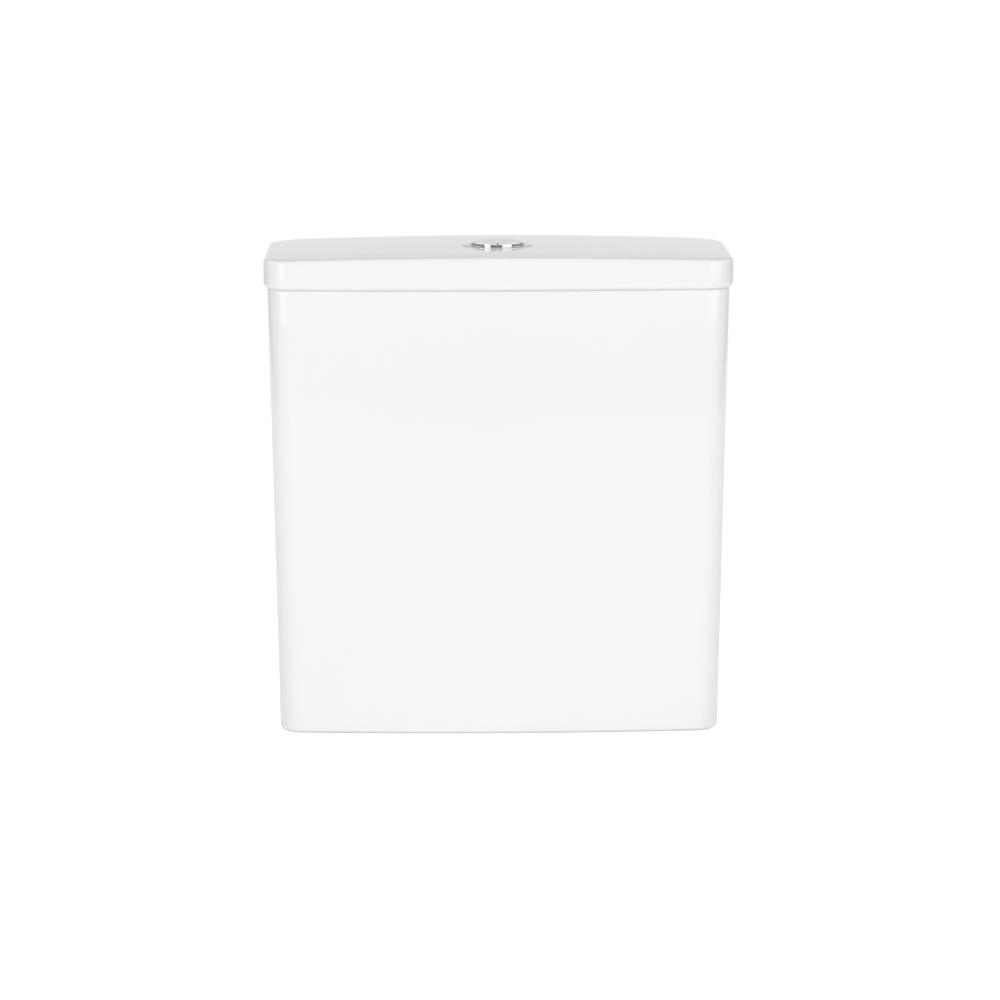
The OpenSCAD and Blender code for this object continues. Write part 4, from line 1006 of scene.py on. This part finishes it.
class CISTERN_OT_push_rods(bpy.types.Operator):
    """Push rods with a threaded top and a knurled stop collar"""

    bl_idname = "cistern.push_rods"
    bl_label = "Push rods"

    def execute(self, context):
        b = lengths("button")
        rod_r, stop_r, top_r = 2.6, 5.7, 2.3
        for side, word in SIDES:
            node = word + "_push_rod"
            x = side * b.rod_x
            low, high = levels(node)
            foot, top = high - 14, high - 10
            rod = turned([(0, low), (rod_r, low, 2.2), (rod_r, foot, 0.5), (stop_r, foot, 0.4),
                          (stop_r, top, 0.4), (top_r, top, 0.2), (top_r, high, 0.6), (0, high)], x, 0, 48)
            thread = winding(node, radius=2.32, wire=0.28, height=8.8, turns=8, level=top + 0.6, across=x,
                             sides=4, steps=24)
            lugged(word + "_rod", joined(rod, thread), node, count=18, radius=stop_r, reach=0.3, width=1.0,
                   height=3.2, level=foot + 0.4, across=x, easing=0.25)
        return {"FINISHED"}


class CISTERN_OT_outlet(bpy.types.Operator):
    """Flush outlet: the seated base with its threaded tail, its gasket, its locknut and the coupling seal"""

    bl_idname = "cistern.outlet"
    bl_label = "Flush outlet"

    def execute(self, context):
        c = lengths("china")
        low, top = span("valve_base")
        bore, tail, thread_r, clear, flange_r = 24, 29, 29.4, 29.9, top.x
        seat, flange, step = c.floor_z + 3, c.floor_z + 8, c.base_z - 28.8
        base = turned([(bore, low.z, 0.6), (tail, low.z, 0.9), (tail, step, 0.2), (thread_r, step, 0.2),
                       (thread_r, seat, 0.4), (flange_r, seat, 0.5), (flange_r, flange, 1.2),
                       (27, flange, 0.6), (26, top.z, 0.3), (bore, top.z, 0.7)], steps=128)
        thread = winding("valve_base", radius=thread_r, wire=0.42, height=36, turns=12, level=c.base_z - 26,
                         sides=4, steps=72)
        lugged("outlet_base", joined(base, thread), "valve_base", count=12, radius=flange_r - 6, reach=0.5,
               width=3, height=0.5, level=flange, easing=0.4)
        gasket = collar(clear, 41, c.floor_z, seat, (0.3, 0.9, 0.9, 0.3))
        piece("outlet_gasket", gasket, "valve_base_gasket")
        nut_r, nut_z = 41, c.base_z - 13
        nut = collar(clear, nut_r, nut_z, c.base_z, (0.6, 1.2, 0.5, 0.4), steps=128)
        lugged("outlet_locknut", nut, "valve_locknut", count=8, radius=nut_r, reach=4, width=8, height=12.6,
               level=nut_z + 0.2, easing=1.6)
        foot, nut_seat, pocket, rim = c.base_z - 28, nut_z - 0.3, 45.3, 54
        seal = turned([(clear, foot, 0.8), (44, foot, 1.6), (46.5, foot + 3.5, 0.5), (46.2, foot + 4.3, 0.3),
                       (50.0, foot + 9.6, 0.5), (49.7, foot + 10.4, 0.3), (rim, foot + 15, 2.4),
                       (rim, c.base_z, 1.2), (pocket, c.base_z, 0.8), (pocket, nut_seat, 0.8),
                       (clear, nut_seat, 0.5)], steps=128)
        piece("coupling_ring", seal, "coupling_seal")
        return {"FINISHED"}


class CISTERN_OT_valve_frame(bpy.types.Operator):
    """Windowed cage, notched rails, head plate and lever pins of the flush valve"""

    bl_idname = "cistern.valve_frame"
    bl_label = "Flush valve frame"

    def execute(self, context):
        piece("flush_cage", softened("valve_cage", 0.6), "valve_cage")
        piece("flush_rails", softened("valve_tower", 0.35), "valve_tower")
        piece("flush_head", softened("valve_head", 0.5), "valve_head")
        low, high = span("lever_pins")
        level, length = (low.z + high.z) / 2, high.y - low.y
        x = lengths("valves").pivot_x
        pins = [pin((high.z - low.z) / 2, length, "Y", (s * x, 0, level)) for s in (-1, 1)]
        piece("pivot_pins", joined(*pins), "lever_pins")
        return {"FINISHED"}


class CISTERN_OT_levers(bpy.types.Operator):
    """The two rocking levers between the push rods and the pull links"""

    bl_idname = "cistern.levers"
    bl_label = "Levers"

    def execute(self, context):
        for _, word in SIDES:
            piece(word + "_rocker_lever", softened(word + "_lever", 0.5), word + "_lever")
        return {"FINISHED"}


class CISTERN_OT_flush_stem(bpy.types.Operator):
    """Overflow tube with its seal, seal retainer, collar and pull link"""

    bl_idname = "cistern.flush_stem"
    bl_label = "Flush stem"

    def execute(self, context):
        bore, outer, foot_r, clear = 12, 14, 20, 14.1
        low, high = levels("overflow_tube")
        marks = []
        for i in range(6):
            level, groove = high - 60 + i * 9, outer - 0.25
            marks += [(outer, level), (groove, level + 0.35), (groove, level + 0.65), (outer, level + 1)]
        tube = turned([(bore, low, 0.5), (foot_r, low, 0.6), (foot_r, low + 3, 0.4), (outer, low + 3, 0.3),
                       *marks, (outer, high, 0.7), (bore, high, 0.7)])
        piece("overflow_stem", tube, "overflow_tube")
        low, high = levels("flush_seal")
        seal_r = 31
        seal = turned([(clear, low, 0.3), (seal_r, low, 0.9), (seal_r, high, 0.9), (21.5, high, 0.4),
                       (21, high - 0.5, 0.3), (20.5, high, 0.4), (clear, high, 0.3)])
        piece("stem_seal", seal, "flush_seal")
        low, high = levels("seal_retainer")
        plate_r, hub_r, plate = 28, 18, low + 3.5
        retainer = turned([(clear, low, 0.3), (plate_r, low, 0.5), (plate_r, plate, 1.0), (hub_r, plate, 0.8),
                           (hub_r, high, 0.7), (clear, high, 0.4)])
        lugged("stem_retainer", retainer, "seal_retainer", count=8, radius=hub_r, reach=7, width=1.8,
               height=4.2, level=low + 3, easing=0.4)
        piece("stem_clamp", softened("stem_collar", 0.6), "stem_collar")
        low, high = levels("full_link")
        x = lengths("valves").link_x
        head_r, rod_r, head = 3.6, 2, low + 3
        link = pull_rod([(0, low), (head_r, low, 0.6), (head_r, head, 0.3), (rod_r, head, 0.2),
                         (rod_r, high, 1.0), (0, high)], x, 0, pin(1.8, 12, "Y", (x, 0, high - 4)))
        piece("full_pull_link", link, "full_link")
        return {"FINISHED"}


class CISTERN_OT_half_float(bpy.types.Operator):
    """Half-flush float with its pull link"""

    bl_idname = "cistern.half_float"
    bl_label = "Half-flush float"

    def execute(self, context):
        x = -lengths("valves").link_x
        low, high = levels("half_flush_float")
        middle, r, waist = (low + high) / 2, 12, 11.7
        hollow_r, hollow, grip_r, cup_r, cup, socket = 3.3, low + 28, 2.1, 4.4, high - 0.6, high - 6
        shell = turned([(hollow_r, low, 0.5), (r, low, 1.6), (waist, middle - 0.9, 0.3),
                        (r, middle - 0.5, 0.3), (r, middle + 0.5, 0.3), (waist, middle + 0.9, 0.3),
                        (r, high, 2.6), (cup_r, high, 0.4), (cup_r, cup, 0.3), (grip_r, cup, 0.3),
                        (grip_r, socket), (0, socket), (0, hollow), (hollow_r, hollow, 0.4)], x, 0, 72)
        piece("half_flush_bob", shell, "half_flush_float")
        low, high = levels("half_link")
        link = pull_rod([(0, low), (2, low, 0.4), (2, high, 1.0), (0, high)], x, 0,
                        pin(1.8, 12, "Y", (x, 0, high - 4)))
        piece("half_pull_link", link, "half_link")
        return {"FINISHED"}


class CISTERN_OT_coupling_bolts(bpy.types.Operator):
    """Slotted brass coupling bolts with their rubber seals, washers and nuts"""

    bl_idname = "cistern.coupling_bolts"
    bl_label = "Coupling bolts"

    def execute(self, context):
        c, v = lengths("china"), lengths("valves")
        low, high = levels("coupling_bolts")
        nut_low, nut_high = span("coupling_bolt_nuts")
        root, shank, clear, head_r, cone, flange = 3.55, 4.15, 4.3, 10, 5.7, 13
        step, head, foot = nut_low.z - 1.4, c.floor_z + 4, c.floor_z - 6
        bolts, seals, washers, nuts = [], [], [], []
        for x in (-v.bolt_x, v.bolt_x):
            bolt = turned([(0, low), (root, low, 0.9), (root, step), (shank, step + 0.6, 0.1),
                           (shank, head, 0.3), (head_r, head, 0.5), (head_r, high - 1.5, 1.2),
                           (7, high - 0.2, 3), (0, high)], x, 0, 72)
            slot = slab(x, 0, 22, 1.8, high - 2, high + 1)
            thread = winding("coupling_bolts", radius=3.58, wire=0.42, height=step - low - 1.6, turns=24,
                             level=low + 1.0, across=x, sides=4, steps=20)
            bolts += [cut(bolt, slot), thread]
            seals.append(turned([(clear, foot, 0.3), (cone, foot, 0.7), (cone, c.floor_z, 0.2),
                                 (flange, c.floor_z, 0.7), (flange, c.floor_z + 2.2, 0.8), (10.6, head, 0.5),
                                 (clear, head, 0.3)], x, 0, 72))
            washers.append(collar(clear, 12, c.base_z - 1.6, c.base_z, (0.2, 0.5, 0.3, 0.2), x, 0, 72))
            nuts.append(hex_nut(x, nut_low.z, nut_high.z, 2 * nut_high.y, clear))
        piece("slotted_bolts", joined(*bolts), "coupling_bolts")
        piece("bolt_cone_seals", joined(*seals), "coupling_bolt_seals")
        piece("bolt_washers", joined(*washers), "coupling_bolt_washers")
        piece("bolt_nuts", joined(*nuts), "coupling_bolt_nuts")
        return {"FINISHED"}


class CISTERN_OT_inlet(bpy.types.Operator):
    """Threaded inlet shank with its strainer, washer and locknut"""

    bl_idname = "cistern.inlet"
    bl_label = "Water inlet"

    def execute(self, context):
        c = lengths("china")
        x = -lengths("valves").inlet_x
        low, high = levels("inlet_shank")
        bore, tail, thread_r, clear, flange_r, spigot = 6.5, 10.0, 10.3, 10.8, 17, 9.1
        step, seat, flange = c.base_z - 14, c.floor_z + 3, c.floor_z + 8
        shank = turned([(bore, low, 0.4), (tail, low, 1.0), (tail, step), (thread_r, step),
                        (thread_r, seat, 0.3), (flange_r, seat, 0.5), (flange_r, flange, 1.0),
                        (spigot, flange, 0.5), (spigot, high, 0.8), (bore, high, 0.4)], x, 0)
        thread = partial(winding, "inlet_shank", wire=0.38, across=x, sides=4, steps=48)
        tail_thread = thread(radius=tail, height=step - low - 2, turns=13, level=low + 1.4)
        nut_thread = thread(radius=thread_r, height=seat - step - 1, turns=14, level=step + 0.5)
        piece("inlet_tail", joined(shank, tail_thread, nut_thread), "inlet_shank")
        low, high = levels("inlet_filter")
        inner, mesh_r, rim_r, rim = 4.9, 5.7, 6.4, low + 2
        sieve = turned([(inner, low, 0.2), (rim_r, low, 0.3), (rim_r, rim, 0.3), (mesh_r, rim + 0.4, 0.2),
                        (mesh_r, high, 0.9), (0, high), (0, high - 0.9), (inner, high - 0.9, 0.4)], x, 0, 56)
        lugged("inlet_strainer", sieve, "inlet_filter", count=14, radius=mesh_r, reach=0.6, width=0.9,
               height=13.6, level=rim, across=x, easing=0.25)
        washer = collar(clear, flange_r, c.floor_z, seat, (0.3, 0.8, 0.8, 0.3), x)
        piece("inlet_seal", washer, "inlet_washer")
        nut_r, nut_z = 16, c.base_z - 10
        nut = collar(clear, nut_r, nut_z, c.base_z, (0.5, 1.0, 0.5, 0.3), x)
        lugged("inlet_nut", nut, "inlet_locknut", count=6, radius=nut_r, reach=2.5, width=6, height=9.6,
               level=nut_z + 0.2, across=x, easing=1.2)
        return {"FINISHED"}


class CISTERN_OT_fill_valve(bpy.types.Operator):
    """Riser, head, diaphragm and ribbed cap of the fill valve"""

    bl_idname = "cistern.fill_valve"
    bl_label = "Fill valve"

    def execute(self, context):
        x = -lengths("valves").inlet_x
        piece("riser_tube", collar(9.2, 12.5, *levels("fill_riser"), (0.4, 0.7, 0.5, 0.3), x), "fill_riser")
        piece("fill_body", softened("fill_head", 0.5), "fill_head")
        low, high = levels("fill_diaphragm")
        rim = 13
        disc = turned([(0, low), (8, low, 0.5), (9, low + 0.6, 0.4), (10, low, 0.5), (rim, low, 0.5),
                       (rim, high, 0.5), (0, high)], x, 0)
        piece("fill_membrane", disc, "fill_diaphragm")
        low, high = levels("fill_cap")
        foot, top, groove, r, nib = low + 1.5, high - 1.5, high - 2, 17, 3
        cap = turned([(0, low), (rim, low, 0.3), (rim, foot, 0.1), (r, foot, 0.4), (r, top, 1.8),
                      (10.5, top, 0.4), (10, groove, 0.4), (6, groove, 0.4), (5.5, top, 0.4), (nib, top, 0.3),
                      (nib, high, 0.7), (0, high)], x, 0)
        lugged("fill_bonnet", cap, "fill_cap", count=18, radius=r, reach=0.8, width=2, height=10.2,
               level=foot + 0.3, across=x, easing=0.45)
        low, high = span("float_arm_pin")
        level, y = (low.z + high.z) / 2, (low.y + high.y) / 2
        piece("arm_pivot_pin", pin((high.z - low.z) / 2, high.x - low.x, "X", (x, y, level)), "float_arm_pin")
        return {"FINISHED"}


class CISTERN_OT_float(bpy.types.Operator):
    """Float cup with its rod, level adjuster and arm"""

    bl_idname = "cistern.float"
    bl_label = "Fill float"

    def execute(self, context):
        v = lengths("valves")
        x, y = -v.inlet_x, -v.rod_y
        piece("float_bell", softened("float_cup", 0.9, 3), "float_cup")
        low, high = levels("float_rod")
        rod = pull_rod([(0, low), (2, low, 0.4), (2, high, 1.0), (0, high)], x, y,
                       pin(1.6, 11, "X", (x, y, high - 4)))
        piece("float_pull_rod", rod, "float_rod")
        low, high = levels("float_adjuster")
        wheel_r = 4.6
        wheel = collar(2.1, wheel_r, low, high, (0.2, 0.4, 0.6, 0.2), x, y, 48)
        lugged("level_wheel", wheel, "float_adjuster", count=10, radius=wheel_r, reach=0.6, width=1.4,
               height=5.2, level=low + 0.4, across=x, ahead=y, easing=0.35)
        piece("float_lever", softened("float_arm", 0.5), "float_arm")
        return {"FINISHED"}


class CISTERN_OT_stage(bpy.types.Operator):
    """White floor, soft boxes, world and camera"""

    bl_idname = "cistern.stage"
    bl_label = "Stage"

    def execute(self, context):
        stage = settings().stage
        scene = context.scene
        scene.view_settings.view_transform = "Standard"
        studio_world(scene, stage)
        studio_floor()
        soft_box("left_soft_box", -46, 1.85, 0.67, (0.90, 1.15), stage.left_power)
        soft_box("right_soft_box", 43, 1.85, 0.67, (1.55, 1.15), stage.right_power)
        soft_box("front_fill", -4, 2.60, 0.32, (1.80, 0.60), stage.fill_power, mirrored=False)
        soft_box("back_fill", 180, 2.60, 0.40, (1.80, 0.60), stage.back_power, mirrored=False)
        studio_camera(scene, stage)
        return {"FINISHED"}


def soft_box(name, degrees, away, level, area, watts, mirrored=True):
    """An upright soft box at an angle from the front, with its lengths in metres, out of the camera's sight.
    One that isn't mirrored doesn't show in polished pieces either."""
    light = bpy.data.lights.new(name, "AREA")
    light.shape = "RECTANGLE"
    light.size, light.size_y = area
    light.energy = watts
    obj = bpy.data.objects.new(name, light)
    turn = math.radians(degrees)
    obj.location = (away * math.sin(turn), -away * math.cos(turn), level)
    obj.rotation_euler = (math.pi / 2, 0, turn)
    obj.visible_camera = False
    obj.visible_glossy = mirrored
    bpy.context.scene.collection.objects.link(obj)


def ray_kinds(tree):
    """Which rays come from the camera, and which from polished and clear pieces."""
    paths = node_in(tree, "ShaderNodeLightPath").outputs
    mirror = maths(tree, "MAXIMUM", paths["Is Glossy Ray"], paths["Is Transmission Ray"])
    return paths["Is Camera Ray"], mirror


def mixed(tree, factor, one, two):
    """One shader where the factor is 0, the other where it is 1."""
    return out_of(tree, "ShaderNodeMixShader", {0: factor, 1: one, 2: two})


def studio_world(scene, stage):
    """White to the camera and even light on everything. Polished pieces show a pale wall behind the object,
    a bright ceiling at the back and a dark room in front."""
    world = bpy.data.worlds.new("studio")
    world.use_nodes = True
    scene.world = world
    tree = world.node_tree
    tree.nodes.clear()
    seen, mirror = ray_kinds(tree)
    way = out_of(tree, "ShaderNodeTexCoord", out="Generated")
    _, back, up = node_in(tree, "ShaderNodeSeparateXYZ", {0: way}).outputs
    wall = ranged(tree, up, (0.14, 0.23), (0.92, 0.50))
    front = ranged(tree, up, (0.12, 0.45), (stage.room, 0.60))
    around = ranged(tree, back, (0.70, 0.92), (front, wall), interpolation_type="SMOOTHSTEP")
    ceiling = ranged(tree, up, (0.30, 0.60), (0.0, 0.9))
    room = maths(tree, "MULTIPLY_ADD", ceiling, ranged(tree, back, (-0.20, 0.30)), around)

    def light(strength):
        return out_of(tree, "ShaderNodeBackground", {"Color": WHITE, "Strength": strength})

    unseen = mixed(tree, mirror, light(stage.ambient), light(room))
    out = tree.nodes.new("ShaderNodeOutputWorld")
    tree.links.new(mixed(tree, seen, unseen, light(1.0)), out.inputs[0])


def studio_floor():
    """A pale floor, clear from below. The camera sees it as white but for the object's shadow, and polished
    pieces see it get darker towards the front."""
    n, far, near, drop = 24, 1.6, 1.5, 0.0002
    row = n + 1
    verts = [(-far + 2 * far * i / n, -near + (near + far) * j / n, -drop)
             for j in range(row) for i in range(row)]
    faces = [(j * row + i, j * row + i + 1, (j + 1) * row + i + 1, (j + 1) * row + i)
             for j in range(n) for i in range(n)]
    mesh = bpy.data.meshes.new("floor")
    mesh.from_pydata(verts, [], faces)
    obj = bpy.data.objects.new("floor", mesh)
    bpy.context.scene.collection.objects.link(obj)
    material = bpy.data.materials.new("floor_paper")
    material.use_nodes = True
    tree = material.node_tree
    tree.nodes.clear()
    seen, mirror = ray_kinds(tree)
    here = node_in(tree, "ShaderNodeNewGeometry").outputs
    ahead = out_of(tree, "ShaderNodeSeparateXYZ", {0: here["Position"]}, out=1)

    def paper(tone):
        return out_of(tree, "ShaderNodeBsdfDiffuse", {"Color": (tone, tone, tone, 1.0)})

    sheen = ranged(tree, ahead, (-1.2, -0.1), (0.0, 0.62))
    lift = maths(tree, "MULTIPLY_ADD", mirror, sheen, maths(tree, "MULTIPLY", seen, 0.68))
    glow = out_of(tree, "ShaderNodeEmission", {"Strength": lift})
    lifted = out_of(tree, "ShaderNodeAddShader", {0: paper(0.55), 1: glow})
    above = mixed(tree, maths(tree, "MAXIMUM", seen, mirror), paper(0.8), lifted)
    clear = out_of(tree, "ShaderNodeBsdfTransparent")
    out = tree.nodes.new("ShaderNodeOutputMaterial")
    tree.links.new(mixed(tree, here["Backfacing"], above, clear), out.inputs[0])
    mesh.materials.append(material)


def studio_camera(scene, stage):
    """The camera, straight in front and a little above."""
    a, e = stage.azimuth, stage.elevation
    target = Vector((0, -0.080, 0.190))
    back = Vector((math.sin(a) * math.cos(e), -math.cos(a) * math.cos(e), math.sin(e)))
    camera = bpy.data.cameras.new("camera")
    camera.lens, camera.sensor_width, camera.sensor_fit = stage.focal, 36.0, "HORIZONTAL"
    camera.shift_x, camera.shift_y = 0.0005, 0.0042
    camera.clip_start, camera.clip_end = 0.01, 50.0
    obj = bpy.data.objects.new("camera", camera)
    scene.collection.objects.link(obj)
    obj.rotation_mode = "QUATERNION"
    obj.location = target + back * stage.distance
    roll = Matrix.Rotation(stage.roll, 4, "Z")
    obj.rotation_quaternion = (back.to_track_quat("Z", "Y").to_matrix().to_4x4() @ roll).to_quaternion()
    scene.camera = obj


class CISTERN_PT_panel(bpy.types.Panel):
    """The cistern's pieces"""

    bl_label = "Cistern"
    bl_idname = "CISTERN_PT_panel"
    bl_space_type = "VIEW_3D"
    bl_region_type = "UI"
    bl_category = "Cistern"

    def draw(self, context):
        for operator in OPERATORS:
            self.layout.operator(operator.bl_idname)


OPERATORS = (CISTERN_OT_tank, CISTERN_OT_lid, CISTERN_OT_bezel, CISTERN_OT_buttons, CISTERN_OT_springs,
             CISTERN_OT_push_rods, CISTERN_OT_outlet, CISTERN_OT_valve_frame, CISTERN_OT_levers,
             CISTERN_OT_flush_stem, CISTERN_OT_half_float, CISTERN_OT_coupling_bolts, CISTERN_OT_inlet,
             CISTERN_OT_fill_valve, CISTERN_OT_float, CISTERN_OT_stage)
CLASSES = (CisternChina, CisternButton, CisternValves, CisternColours, CisternStage, CisternSettings,
           *OPERATORS, CISTERN_PT_panel)


def register():
    """Registers the settings, the operators and the panel."""
    for cls in CLASSES:
        bpy.utils.register_class(cls)
    bpy.types.Scene.cistern = PointerProperty(type=CisternSettings)


def unregister():
    """Takes the settings, the operators and the panel out again."""
    del bpy.types.Scene.cistern
    for cls in reversed(CLASSES):
        bpy.utils.unregister_class(cls)


def main():
    """Builds every piece and the stage."""
    register()
    for operator in OPERATORS:
        group, name = operator.bl_idname.split(".")
        getattr(getattr(bpy.ops, group), name)()


if __name__ == "__main__":
    main()
